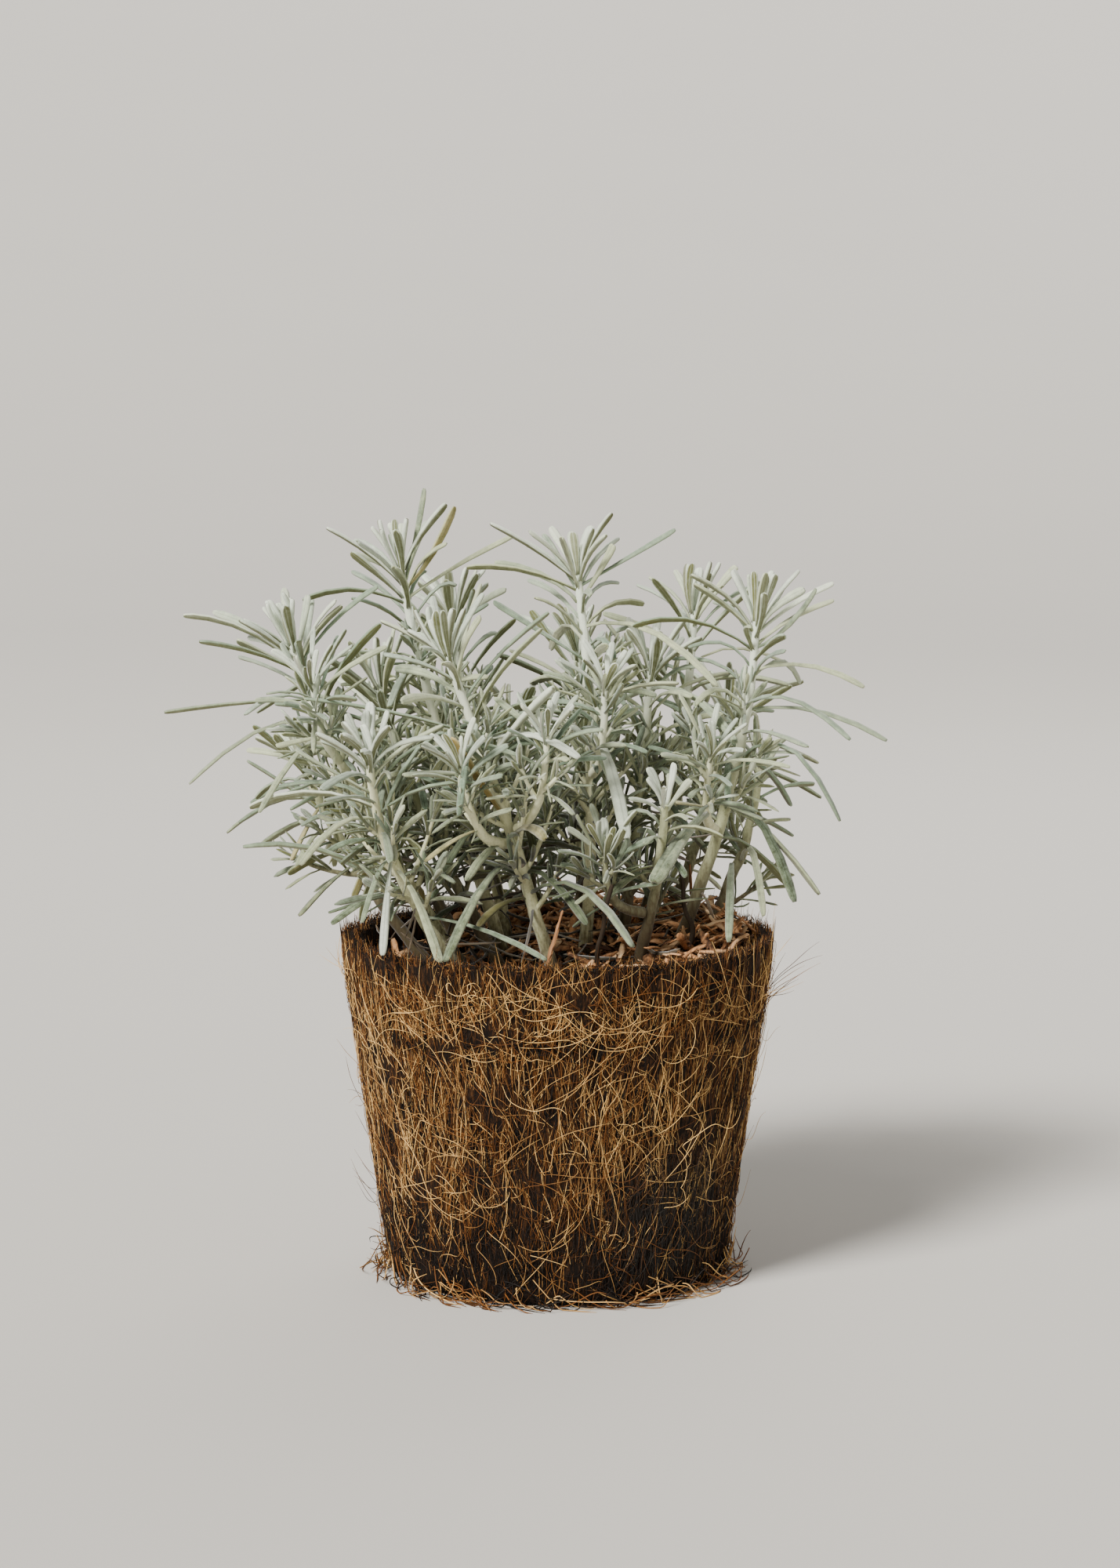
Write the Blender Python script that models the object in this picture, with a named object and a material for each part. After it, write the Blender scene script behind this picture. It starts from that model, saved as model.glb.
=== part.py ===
"""A curry plant growing in a moulded coir-fibre pot, modelled at real size in metres, +Z up.

The origin is the middle of the pot's base. The pot holds a plug of compost with a heap of bark
mulch on it. Seventeen main stems rise out of sockets in the compost, and six side shoots stand on
them. Each shoot carries its leaves on a thin collar of leaf bases that fits over the stem, so a
shoot's leaves are one solid and its stem is another.
"""

import math
from dataclasses import dataclass

import bmesh
import bpy
import numpy as np
from mathutils import Matrix, Vector, noise

MM = 0.001
GAP = 0.4 * MM  # air between two solids that touch in life

# Pot: a tapered cup pressed from coir fibre.
POT_TOP_RADIUS = 65 * MM
POT_BASE_RADIUS = 50 * MM
POT_HEIGHT = 101 * MM
POT_WALL = 5 * MM
POT_FLOOR = 6 * MM
POT_FOOT_ROUND = 3 * MM
POT_SIDES = 40
RIM_EDGE = 0.8 * MM  # height of the rim's rounded edge
RIM_ROUND = 1.2 * MM  # and how far it rounds in over the wall
RIM_WAVE = 0.8 * MM
RIM_WAVES_FROM = 90 * MM
RIM_WAVES_TO_A_METRE = 60

# Filling.
COMPOST_TOP = 89 * MM
COMPOST_SIDES = 32
COMPOST_PLAY = 0.5 * MM  # further room round the plug, for the flats of its sides
SOCKET_DEPTH_BELOW_STEM = 3 * MM
SOCKET_CLEARANCE = 0.5 * MM
MULCH_LEAST = 1.4 * MM
MULCH_MOST = 9.5 * MM
MULCH_PEAK_ANGLE = math.radians(35)  # the heap lies to the right and the back
MULCH_ROUGHNESS = 0.8 * MM
MULCH_LUMPS_TO_A_METRE = 160
MULCH_PLAY = 1.2 * MM
MULCH_SIDES = 28
MULCH_RINGS = 4

# Roots that have grown through the foot of the pot.
FRINGE_SIDES = 48
FRINGE_WIDTH = 1.8 * MM
FRINGE_HEIGHT = 1.6 * MM
FRINGE_ROOTS = 16
ROOT_LENGTH = 9 * MM
ROOT_LIFT = 0.15 * MM
ROOT_CURL = 0.7  # how far a root's end swings sideways, as a share of its reach
ROOT_JOINTS = ((0.5, 0.3), (1.0, 0.5))  # each joint's place along the root, and its taper

# Slivers of wood standing in the mulch.
SPLINTER_TAPER = 0.75
SPLINTER_SLANT = 0.9  # how far the broken end leans, as a share of its width

# Stems and leaves.
STEM_SIDES = 5  # the collar of leaf bases has the same sides, so its bore follows the stem
BARE_RINGS = 2
COLLAR_WALL = 0.55 * MM
WHORL_HEIGHT = 2.2 * MM
WHORL_TURN = math.radians(18)  # each whorl's leaves swing this far, to alternate sides
LEAST_LIFT = math.radians(21)  # a leaf's angle to its stem in the top whorl
MOST_LIFT = math.radians(72)  # and in the lowest one
BUD_HEIGHT = 9 * MM
LEAF_THICKNESS = 0.9 * MM
LEAF_CLEARANCE = 0.5 * MM
LEAF_ROOT = 3 * MM  # the stretch of a leaf that may be close to its own stem
SAMPLE_STEP = 1.5 * MM
SHORTEST_LEAF = 8 * MM
GRAVITY_BEND = 0.6  # how far a level leaf's outer half turns down, in radians
LONG_LEAF_ARCH = 0.1  # how far a long leaf's middle stands above its straight line


@dataclass(frozen=True)
class Shoot:
    """One shoot: where its stem runs, in millimetres, and how leafy it is."""

    name: str
    root: tuple
    middle: tuple
    tip: tuple
    root_radius: float = 2.1
    tip_radius: float = 1.15
    whorls: int = 6
    leaf_length: float = 34
    leaf_width: float = 2.5
    bare_share: float = 0.34
    turn: float = 0.0


MAIN_SHOOTS = (
    Shoot("left", (-21, -5, 82), (-56, -10, 139), (-78, -15, 190), turn=25),
    Shoot("top_left", (-12, 7, 82), (-33, 9, 150), (-47, 10, 211), turn=70, whorls=7),
    Shoot("front", (2, -17, 82), (-15, -26, 139), (-32, -30, 188), turn=10),
    Shoot("centre", (7, 0, 82), (10, 0, 148), (6, 0, 210), turn=40, whorls=7),
    Shoot("back_right", (20, 18, 82), (35, 27, 140), (42, 35, 196), turn=0),
    Shoot("right", (30, 0, 82), (51, -2, 144), (59, -5, 196), turn=55),
    Shoot("low_left", (-20, -17, 82), (-45, -29, 122), (-54, -39, 158), turn=30, whorls=5),
    Shoot("back_left", (-12, 22, 82), (-25, 34, 143), (-32, 42, 194), turn=15),
    Shoot("back", (6, 27, 82), (8, 44, 138), (6, 54, 182), turn=60),
    Shoot("rear_right", (24, 31, 82), (44, 47, 124), (53, 59, 162), turn=20, whorls=5),
    Shoot("rear_left", (-24, 27, 82), (-45, 43, 124), (-56, 55, 162), turn=5, whorls=5),
    Shoot("rear", (-4, 37, 82), (-10, 57, 122), (-13, 70, 156), turn=50, whorls=5),
    Shoot("mid_left", (-31, 8, 82), (-60, 15, 118), (-77, 21, 150), turn=35, whorls=5),
    Shoot("mid_right", (35, 14, 82), (54, 24, 116), (62, 31, 148), turn=65, whorls=5),
    Shoot("centre_left", (-11, -7, 82), (-37, -4, 132), (-53, 0, 176), turn=45, whorls=5),
    Shoot("centre_right", (17, 8, 82), (24, 10, 134), (28, 10, 180), turn=22, whorls=5),
    Shoot("front_right", (20, -15, 82), (28, -26, 116), (31, -36, 145), turn=12, whorls=4),
)


@dataclass(frozen=True)
class Branch:
    """A side shoot: the stem it stands on, how far up that stem, and where it goes."""

    name: str
    parent: str
    share: float
    middle: tuple
    tip: tuple
    turn: float = 0.0


BRANCHES = (
    Branch("side_front_left", "front", 0.42, (-23, -38, 139), (-28, -43, 157)),
    Branch("side_front_centre", "front", 0.45, (-5, -36, 148), (-3, -41, 166), turn=30),
    Branch("side_centre", "centre", 0.5, (13, -13, 158), (14, -19, 178), turn=50),
    Branch("side_right", "right", 0.4, (44, -12, 140), (45, -19, 158), turn=20),
    Branch("side_left", "left", 0.62, (-68, -24, 164), (-71, -30, 180), turn=60),
    Branch("side_low_front", "front_right", 0.42, (16, -31, 117), (14, -37, 131), turn=15),
)
BRANCH_SIZES = {"root_radius": 1.4, "tip_radius": 0.9, "whorls": 3, "leaf_length": 19,
                "leaf_width": 2.1, "bare_share": 0.4}

TWIG_SIZES = {"root_radius": 0.9, "tip_radius": 0.6, "whorls": 3}
TWIGS = (
    Shoot("dead_twig_front", (12, -24, 82), (12, -35, 104), (16, -37, 122), **TWIG_SIZES),
    Shoot("dead_twig_right", (39, -10, 82), (39, -19, 104), (36, -22, 124), **TWIG_SIZES),
    Shoot("dead_twig_left", (-31, -20, 82), (-37, -22, 102), (-43, -18, 117), **TWIG_SIZES),
)


@dataclass(frozen=True)
class LongLeaf:
    """A leaf that stands out from its shoot: the whorl it grows in and where its tip is."""

    shoot: str
    whorl: int
    tip: tuple


LONG_LEAVES = (
    LongLeaf("left", 4, (-114, -22, 171)),
    LongLeaf("left", 5, (-108, -24, 200)),
    LongLeaf("top_left", 6, (-39, 8, 234)),
    LongLeaf("right", 4, (90, -8, 178)),
    LongLeaf("right", 3, (97, -6, 161)),
    LongLeaf("right", 2, (83, -12, 138)),
    LongLeaf("right", 1, (70, -11, 114)),
    LongLeaf("low_left", 1, (-76, -42, 110)),
    LongLeaf("low_left", 3, (-64, -74, 138)),
    LongLeaf("front", 0, (-30, -50, 105)),
    LongLeaf("front_right", 2, (48, -73, 126)),
    LongLeaf("rear", 2, (-16, 96, 128)),
    LongLeaf("rear_right", 3, (78, 82, 150)),
    LongLeaf("rear_left", 3, (-84, 78, 148)),
    LongLeaf("mid_left", 2, (-106, 34, 134)),
)

RECTANGLE = ((-1, -1), (1, -1), (1, 1), (-1, 1))

FINISHES = {
    "coir": ((0.24, 0.13, 0.055), 0.95),
    "compost": ((0.022, 0.015, 0.011), 0.95),
    "bark": ((0.20, 0.085, 0.045), 0.85),
    "roots": ((0.30, 0.17, 0.06), 0.8),
    "stem": ((0.46, 0.48, 0.30), 0.85),
    "leaf": ((0.47, 0.53, 0.44), 0.9),
}


def clear_scene():
    """Remove every object that the file opened with."""
    for obj in list(bpy.data.objects):
        bpy.data.objects.remove(obj)


def finish_for(name):
    """The material of that name, made the first time it is asked for."""
    material = bpy.data.materials.get(name)
    if material is None:
        colour, roughness = FINISHES[name]
        material = bpy.data.materials.new(name)
        material.use_nodes = True
        shader = material.node_tree.nodes["Principled BSDF"]
        shader.inputs["Base Color"].default_value = (*colour, 1)
        shader.inputs["Roughness"].default_value = roughness
        shader.inputs["Metallic"].default_value = 0
    return material


def add_object(name, bm, finish, smooth_angle=40):
    """Turn a bmesh into a shaded scene object with its normals facing out."""
    bmesh.ops.recalc_face_normals(bm, faces=bm.faces)
    mesh = bpy.data.meshes.new(name)
    bm.to_mesh(mesh)
    bm.free()
    mesh.materials.append(finish_for(finish))
    mesh.shade_smooth()
    mesh.set_sharp_from_angle(angle=math.radians(smooth_angle))
    obj = bpy.data.objects.new(name, mesh)
    bpy.context.scene.collection.objects.link(obj)
    return obj


def steps(start, end, count):
    """Evenly spaced numbers from start to end, both included."""
    return np.linspace(start, end, count).tolist()


def add_ring(bm, points):
    """New vertices at these points."""
    return [bm.verts.new(point) for point in points]


def bridge(bm, lower, upper):
    """Quads between two rings of the same length. Returns the faces in ring order."""
    count = len(lower)
    return [
        bm.faces.new((lower[i], lower[(i + 1) % count], upper[(i + 1) % count], upper[i]))
        for i in range(count)
    ]


def circle(radius, z, sides):
    """Points of a level circle round the pot's axis."""
    angles = (2 * math.pi * i / sides for i in range(sides))
    return [Vector((radius * math.cos(a), radius * math.sin(a), z)) for a in angles]


def pot_radius(z):
    """Outer radius of the pot's wall at a height."""
    share = z / POT_HEIGHT
    return POT_BASE_RADIUS + share * (POT_TOP_RADIUS - POT_BASE_RADIUS)


# ---------------------------------------------------------------- pot and filling


def build_pot():
    """The tapered cup, turned from its wall's outline, with a hand-pressed, wavy rim."""
    foot = POT_FOOT_ROUND
    shoulder = POT_HEIGHT - RIM_EDGE
    outer = [(POT_BASE_RADIUS - foot, 0.0), (POT_BASE_RADIUS - 0.3 * foot, 0.3 * foot)]
    outer += [(pot_radius(z), z) for z in steps(foot, shoulder, 5)]
    lip = [
        (POT_TOP_RADIUS - RIM_ROUND, POT_HEIGHT),
        (POT_TOP_RADIUS - POT_WALL + RIM_ROUND, POT_HEIGHT),
    ]
    inner = [(pot_radius(z) - POT_WALL, z) for z in steps(shoulder, POT_FLOOR + foot, 4)]
    inner.append((pot_radius(POT_FLOOR) - POT_WALL - foot, POT_FLOOR))
    bm = bmesh.new()
    rings = []
    for radius, z in outer + lip + inner:
        ring = add_ring(bm, circle(radius, z, POT_SIDES))
        if z > RIM_WAVES_FROM:
            for vert in ring:
                vert.co.z += RIM_WAVE * noise.noise(vert.co * RIM_WAVES_TO_A_METRE)
        rings.append(ring)
    for lower, upper in zip(rings, rings[1:]):
        bridge(bm, lower, upper)
    bm.faces.new(rings[0])
    bm.faces.new(rings[-1])
    return add_object("coir_pot", bm, "coir")


def build_compost():
    """The plug of compost that fills the pot, flat on top, a hair clear of the wall."""
    foot = POT_FOOT_ROUND
    levels = [POT_FLOOR + GAP, POT_FLOOR + GAP + foot, COMPOST_TOP]
    radii = [pot_radius(z) - POT_WALL - GAP - COMPOST_PLAY for z in levels]
    radii[0] -= foot
    bm = bmesh.new()
    rings = [add_ring(bm, circle(r, z, COMPOST_SIDES)) for r, z in zip(radii, levels)]
    for lower, upper in zip(rings, rings[1:]):
        bridge(bm, lower, upper)
    bm.faces.new(rings[0])
    bm.faces.new(rings[-1])
    return add_object("compost", bm, "compost")


def mulch_depth(x, y):
    """Depth of the bark heap at a point: deepest at the right and back, near the wall."""
    angle = math.atan2(y, x)
    radius = math.hypot(x, y) / POT_TOP_RADIUS
    lean = 0.5 + 0.5 * math.cos(angle - MULCH_PEAK_ANGLE)
    share = (lean**1.5) * (0.35 + 0.65 * radius)
    lumps = MULCH_ROUGHNESS * noise.noise(Vector((x, y, 0)) * MULCH_LUMPS_TO_A_METRE)
    return MULCH_LEAST + share * (MULCH_MOST - MULCH_LEAST) + lumps * (0.3 + lean)


def mulch_top(x, y):
    """Height of the heap's surface at a point."""
    return COMPOST_TOP + GAP + mulch_depth(x, y)


def build_mulch():
    """The loose bark on the compost, as one low heap."""
    base = COMPOST_TOP + GAP
    outer = pot_radius(COMPOST_TOP) - POT_WALL - MULCH_PLAY
    bm = bmesh.new()
    floor = bm.verts.new((0, 0, base))
    crest = bm.verts.new((0, 0, base + mulch_depth(0, 0)))
    below, above = [floor], [crest]
    for step in range(1, MULCH_RINGS + 1):
        points = circle(outer * step / MULCH_RINGS, base, MULCH_SIDES)
        tops = [p + Vector((0, 0, mulch_depth(p.x, p.y))) for p in points]
        above.append(add_ring(bm, tops))
    below.append(add_ring(bm, circle(outer, base, MULCH_SIDES)))
    for hub, ring in ((crest, above[1]), (floor, below[1])):
        for i in range(MULCH_SIDES):
            bm.faces.new((hub, ring[i], ring[(i + 1) % MULCH_SIDES]))
    for lower, upper in zip(above[1:], above[2:]):
        bridge(bm, lower, upper)
    bridge(bm, below[1], above[-1])
    return add_object("bark_mulch", bm, "bark", smooth_angle=20)


def build_splinter(name, foot, head, width, thickness):
    """A flat sliver with a slanting broken end, its foot on the mulch at (x, y), in millimetres."""
    head = Vector(head) * MM
    ground = Vector((*foot, 0)) * MM
    ground.z = mulch_top(ground.x, ground.y)
    along = (head - ground).normalized()
    wide = along.cross(Vector((0, 1, 0))).normalized()
    deep = along.cross(wide)
    half_width, half_depth = width * MM / 2, thickness * MM / 2
    dip = half_width * abs(wide.z) + half_depth * abs(deep.z) + 2 * GAP
    corners = [wide * half_width * i + deep * half_depth * j for i, j in RECTANGLE]
    slants = [-along * SPLINTER_SLANT * half_width * i for i, _ in RECTANGLE]
    start = ground + Vector((0, 0, dip))
    bm = bmesh.new()
    rings = [
        add_ring(bm, [start + SPLINTER_TAPER * corner for corner in corners]),
        add_ring(bm, [start.lerp(head, 0.5) + corner for corner in corners]),
        add_ring(bm, [head + SPLINTER_TAPER * c + slant for c, slant in zip(corners, slants)]),
    ]
    for lower, upper in zip(rings, rings[1:]):
        bridge(bm, lower, upper)
    bm.faces.new(rings[0])
    bm.faces.new(rings[-1])
    return add_object(name, bm, "bark")


def build_root_fringe():
    """The mat of fine roots round the pot's foot: a low ring with longer roots running out."""
    inner = pot_radius(FRINGE_HEIGHT) + GAP
    outer = inner + FRINGE_WIDTH
    outline = [
        (inner, 0.0),
        (outer, 0.0),
        (outer, 0.6 * FRINGE_HEIGHT),
        (inner, FRINGE_HEIGHT),
    ]
    bm = bmesh.new()
    rings = [add_ring(bm, circle(r, z, FRINGE_SIDES)) for r, z in outline]
    walls = [bridge(bm, a, b) for a, b in zip(rings, rings[1:] + rings[:1])]
    outer_wall = walls[1]
    for number in range(FRINGE_ROOTS):
        face = outer_wall[number * FRINGE_SIDES // FRINGE_ROOTS]
        centre = face.calc_center_median()
        out = Vector((centre.x, centre.y, 0)).normalized()
        swing = Vector((-out.y, out.x, 0)) * ROOT_CURL * math.sin(number * 2.4)
        reach = ROOT_LENGTH * (0.6 + 0.5 * math.cos(number * 1.7) ** 2)
        for along, size in ROOT_JOINTS:
            face = bmesh.ops.extrude_discrete_faces(bm, faces=[face])["faces"][0]
            middle = face.calc_center_median()
            shift = centre + (out + swing * along) * reach * along - middle
            for vert in face.verts:
                vert.co = middle + (vert.co - middle) * size + shift
                vert.co.z = max(vert.co.z, ROOT_LIFT)
    return add_object("root_fringe", bm, "roots")


# ---------------------------------------------------------------- stems and leaves


@dataclass
class Station:
    """A place on a stem: its centre, three square directions there, and the stem's radius."""

    centre: Vector
    across: Vector
    over: Vector
    ahead: Vector
    radius: float

    def ring(self, bm, radius, shift=0.0):
        """New vertices round this place, moved along the stem by shift."""
        centre = self.centre + self.ahead * shift
        angles = (2 * math.pi * i / STEM_SIDES for i in range(STEM_SIDES))
        spokes = [self.across * math.cos(a) + self.over * math.sin(a) for a in angles]
        return add_ring(bm, [centre + radius * spoke for spoke in spokes])


def stem_point(shoot, share):
    """A point on the stem's middle line, a parabola through root, middle and tip."""
    root, middle, tip = (Vector(p) * MM for p in (shoot.root, shoot.middle, shoot.tip))
    pull = 4 * middle - root - tip
    return root * (1 - share) ** 2 + pull * share * (1 - share) + tip * share**2


def stem_radius(shoot, share):
    """The stem's radius, which tapers evenly to its tip."""
    return MM * (shoot.root_radius + share * (shoot.tip_radius - shoot.root_radius))


def stations(shoot):
    """The stem's places from root to tip, their directions carried along it with no twist."""
    leafy = steps(shoot.bare_share, 1, shoot.whorls)
    shares = steps(0, shoot.bare_share, BARE_RINGS + 1)[:-1] + leafy
    points = [stem_point(shoot, share) for share in shares]
    first = (points[1] - points[0]).normalized()
    across = Matrix.Rotation(math.radians(shoot.turn), 3, first) @ first.orthogonal().normalized()
    found = []
    for i, (share, point) in enumerate(zip(shares, points)):
        ahead = (points[min(i + 1, len(points) - 1)] - points[max(i - 1, 0)]).normalized()
        across = (across - ahead * across.dot(ahead)).normalized()
        found.append(Station(point, across, ahead.cross(across), ahead, stem_radius(shoot, share)))
    return found


def seated(branch, parents):
    """The branch as a shoot whose foot stands just off its parent's side."""
    parent = parents[branch.parent]
    below, on = (stem_point(parent, branch.share + d) for d in (-0.01, 0))
    rise = (on - below).normalized()
    towards = (Vector(branch.middle) * MM - on).normalized()
    angle = towards.angle(rise)
    shell = stem_radius(parent, branch.share) + GAP
    if branch.share > parent.bare_share:
        shell += 2 * (GAP + COLLAR_WALL)
    own = BRANCH_SIZES["root_radius"] * MM
    reach = (shell + own * math.cos(angle)) / math.sin(angle) + GAP
    root = tuple((on + towards * reach) / MM)
    return Shoot(branch.name, root, branch.middle, branch.tip, turn=branch.turn, **BRANCH_SIZES)


def build_tube(name, places, radii, finish):
    """A closed tapering tube through these places."""
    bm = bmesh.new()
    rings = [place.ring(bm, radius) for place, radius in zip(places, radii)]
    for lower, upper in zip(rings, rings[1:]):
        bridge(bm, lower, upper)
    bm.faces.new(rings[0])
    bm.faces.new(rings[-1])
    return add_object(name, bm, finish)


def build_stem(shoot, name, finish):
    """One stem, from its socket in the compost, or from its parent's side, to its tip."""
    places = stations(shoot)
    return build_tube(name, places, [place.radius for place in places], finish)


def cut_sockets(solids, shoots):
    """Bore a loose socket in each solid wherever a stem goes down into it."""
    cutters = []
    for shoot in shoots:
        places = stations(shoot)[: BARE_RINGS + 1]
        places[0].centre -= places[0].ahead * SOCKET_DEPTH_BELOW_STEM
        wide = [p.radius + SOCKET_CLEARANCE for p in places]
        cutter = build_tube(f"cutter_{shoot.name}", places, wide, "stem")
        cutter.hide_render = True
        cutter.display_type = "WIRE"
        cutters.append(cutter)
    for solid in solids:
        for cutter in cutters:
            cut = solid.modifiers.new(f"socket {cutter.name}", "BOOLEAN")
            cut.operation = "DIFFERENCE"
            cut.object = cutter


class Crowd:
    """Balls along everything already placed, each with its owner, for a new leaf to keep off."""

    def __init__(self):
        self.centres = np.empty((0, 3))
        self.radii = np.empty(0)
        self.stem_owners = np.empty(0, dtype=object)

    def add(self, points, radius, stem_of=""):
        """Take in balls of one radius at these points; stem_of names the shoot whose stem it is."""
        self.centres = np.vstack([self.centres, np.array([tuple(p) for p in points])])
        self.radii = np.append(self.radii, np.full(len(points), radius))
        self.stem_owners = np.append(self.stem_owners, np.full(len(points), stem_of, dtype=object))

    def clear_of(self, points, radius, shoot_name):
        """True if such balls touch nothing placed so far, apart from the leaf's own stem."""
        others = self.stem_owners != shoot_name
        centres, radii = self.centres[others], self.radii[others]
        for point in points:
            gaps = np.linalg.norm(centres - np.array(tuple(point)), axis=1) - radii
            if gaps.min() < radius + LEAF_CLEARANCE:
                return False
        return True


def meets_pot_or_filling(point):
    """True if a point is too near the pot's wall, its rim or the mulch."""
    radius = math.hypot(point.x, point.y)
    over_wall = POT_TOP_RADIUS - POT_WALL - 4 * MM < radius < POT_TOP_RADIUS + 2 * MM
    if over_wall and point.z < POT_HEIGHT + 2.5 * MM:
        return True
    heap = mulch_top(point.x, point.y) if radius < POT_TOP_RADIUS else POT_HEIGHT
    return point.z < heap + 2.5 * MM


def sampled(points):
    """The same line with a point at least every SAMPLE_STEP."""
    found = []
    for start, end in zip(points, points[1:]):
        count = max(1, math.ceil((end - start).length / SAMPLE_STEP))
        found += [start.lerp(end, i / count) for i in range(count)]
    return found + [points[-1]]


def free_part(line):
    """The samples of a leaf's line past its root."""
    return [point for point in sampled(line) if (point - line[0]).length > LEAF_ROOT]


def drooping_line(start, direction, length):
    """A leaf's middle line: half its length straight, then turned down by its own weight."""
    level = math.sqrt(max(0.0, 1 - direction.z**2))
    knee = start + direction * length / 2
    outward = (direction - Vector((0, 0, GRAVITY_BEND * level))).normalized()
    return [start, knee, knee + outward * length / 2]


def arched_line(start, tip):
    """A long leaf's middle line, which rises over its straight way to the tip."""
    rise = Vector((0, 0, LONG_LEAF_ARCH * (tip - start).length))
    return [start, start.lerp(tip, 0.5) + rise, tip]


def fitted_line(crowd, shoot, start, direction, length):
    """The line of the longest leaf that fits here, or None."""
    radius = shoot.leaf_width * MM / 2
    while length > SHORTEST_LEAF:
        line = drooping_line(start, direction, length)
        free = free_part(line)
        if not any(map(meets_pot_or_filling, free)) and crowd.clear_of(free, radius, shoot.name):
            return line
        length *= 0.82
    return None


def grow_leaf(bm, face, line, width):
    """Draw a face of the collar out into a flat leaf along its line, ending in a point."""
    start, knee, end = line
    corners = list(face.verts)
    bm.faces.remove(face)
    direction = (knee - start).normalized()
    across = (corners[1].co - corners[0].co).normalized()
    across = (across - direction * across.dot(direction)).normalized()
    over = across.cross(direction)
    if over.dot(corners[3].co - corners[0].co) < 0:
        over.negate()
    half, thick = across * width / 2, over * LEAF_THICKNESS / 2
    outline = (-half - thick, half - thick, half + thick, -half + thick)
    blade = add_ring(bm, [knee + corner for corner in outline])
    bridge(bm, corners, blade)
    tip = bm.verts.new(end)
    for i in range(4):
        bm.faces.new((blade[i], blade[(i + 1) % 4], tip))


def build_collar(bm, shoot, places):
    """The thin sheath of leaf bases over the leafy stem. Returns each whorl's five faces."""
    corner = 1 / math.cos(math.pi / STEM_SIDES)
    half = WHORL_HEIGHT / 2
    outside, inside = [], []
    for place in places:
        bore = place.radius + GAP * corner
        outside.append(place.ring(bm, bore + COLLAR_WALL * corner, -half))
        outside.append(place.ring(bm, bore + COLLAR_WALL * corner, half))
        shift = -half if place is places[0] else GAP if place is places[-1] else 0
        inside.append(place.ring(bm, bore, shift))
    bands = [bridge(bm, lower, upper) for lower, upper in zip(outside, outside[1:])]
    for lower, upper in zip(inside, inside[1:]):
        bridge(bm, lower, upper)
    bridge(bm, inside[0], outside[0])
    bm.faces.new(inside[-1])
    bud = bm.verts.new(places[-1].centre + places[-1].ahead * BUD_HEIGHT)
    for i in range(STEM_SIDES):
        bm.faces.new((outside[-1][i], outside[-1][(i + 1) % STEM_SIDES], bud))
    bm.normal_update()
    return bands[::2]


def outward(face, place):
    """The direction from the stem's middle to the middle of a face of its collar."""
    out = face.calc_center_median() - place.centre
    return (out - place.ahead * out.dot(place.ahead)).normalized()


def long_leaf_faces(shoot, whorls, places):
    """{(whorl, face): tip} for the shoot's long leaves, each on the face that looks its way."""
    chosen = {}
    for leaf in LONG_LEAVES:
        if leaf.shoot != shoot.name:
            continue
        tip = Vector(leaf.tip) * MM
        place = places[leaf.whorl]
        faces = range(STEM_SIDES)
        looks = [outward(whorls[leaf.whorl][i], place).dot(tip - place.centre) for i in faces]
        chosen[leaf.whorl, looks.index(max(looks))] = tip
    return chosen


def leaves_in_whorl(shoot, number):
    """How many leaves a whorl has: all five near the tip, and fewer going down."""
    return min(STEM_SIDES, 2 + number + max(0, STEM_SIDES - shoot.whorls))


def build_leaves(shoot, crowd):
    """A shoot's leaves, in whorls on the sheath that their bases form."""
    places = stations(shoot)[BARE_RINGS:]
    bm = bmesh.new()
    whorls = build_collar(bm, shoot, places)
    width = shoot.leaf_width * MM
    long_ones = long_leaf_faces(shoot, whorls, places)
    lines = {key: arched_line(whorls[key[0]][key[1]].calc_center_median(), tip)
             for key, tip in long_ones.items()}
    for number in reversed(range(len(places))):
        place = places[number]
        height = number / (len(places) - 1)
        lift = MOST_LIFT + (LEAST_LIFT - MOST_LIFT) * height**1.2
        swing = Matrix.Rotation(WHORL_TURN * (-1) ** number, 3, place.ahead)
        length = shoot.leaf_length * MM * (0.66 + 0.34 * min(1, 2 * (1 - height)))
        for step in range(leaves_in_whorl(shoot, number)):
            side = (2 * (number + step)) % STEM_SIDES
            if (number, side) in lines:
                continue
            face = whorls[number][side]
            out = swing @ outward(face, place)
            direction = place.ahead * math.cos(lift) + out * math.sin(lift)
            line = fitted_line(crowd, shoot, face.calc_center_median(), direction, length)
            if line:
                lines[number, side] = line
                crowd.add(free_part(line), width / 2)
    for (number, side), line in lines.items():
        grow_leaf(bm, whorls[number][side], line, width)
    return add_object(f"leaves_{shoot.name}", bm, "leaf")


def build_plant(shoots):
    """Every stem, then every shoot's leaves, each leaf stopping short of what is already there."""
    crowd = Crowd()
    by_name = {shoot.name: shoot for shoot in shoots}
    for shoot in shoots:
        build_stem(shoot, f"stem_{shoot.name}", "stem")
    for twig in TWIGS:
        build_stem(twig, twig.name, "bark")
    for shoot in shoots + TWIGS:
        reach = [stem_point(shoot, share) for share in steps(0, 1, 80)]
        crowd.add(reach, stem_radius(shoot, 0.5) + 2 * (COLLAR_WALL + GAP), shoot.name)
    for leaf in LONG_LEAVES:
        shoot = by_name[leaf.shoot]
        start = stations(shoot)[BARE_RINGS + leaf.whorl].centre
        crowd.add(free_part(arched_line(start, Vector(leaf.tip) * MM))[2:], shoot.leaf_width * MM / 2)
    for shoot in shoots:
        build_leaves(shoot, crowd)


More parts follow.
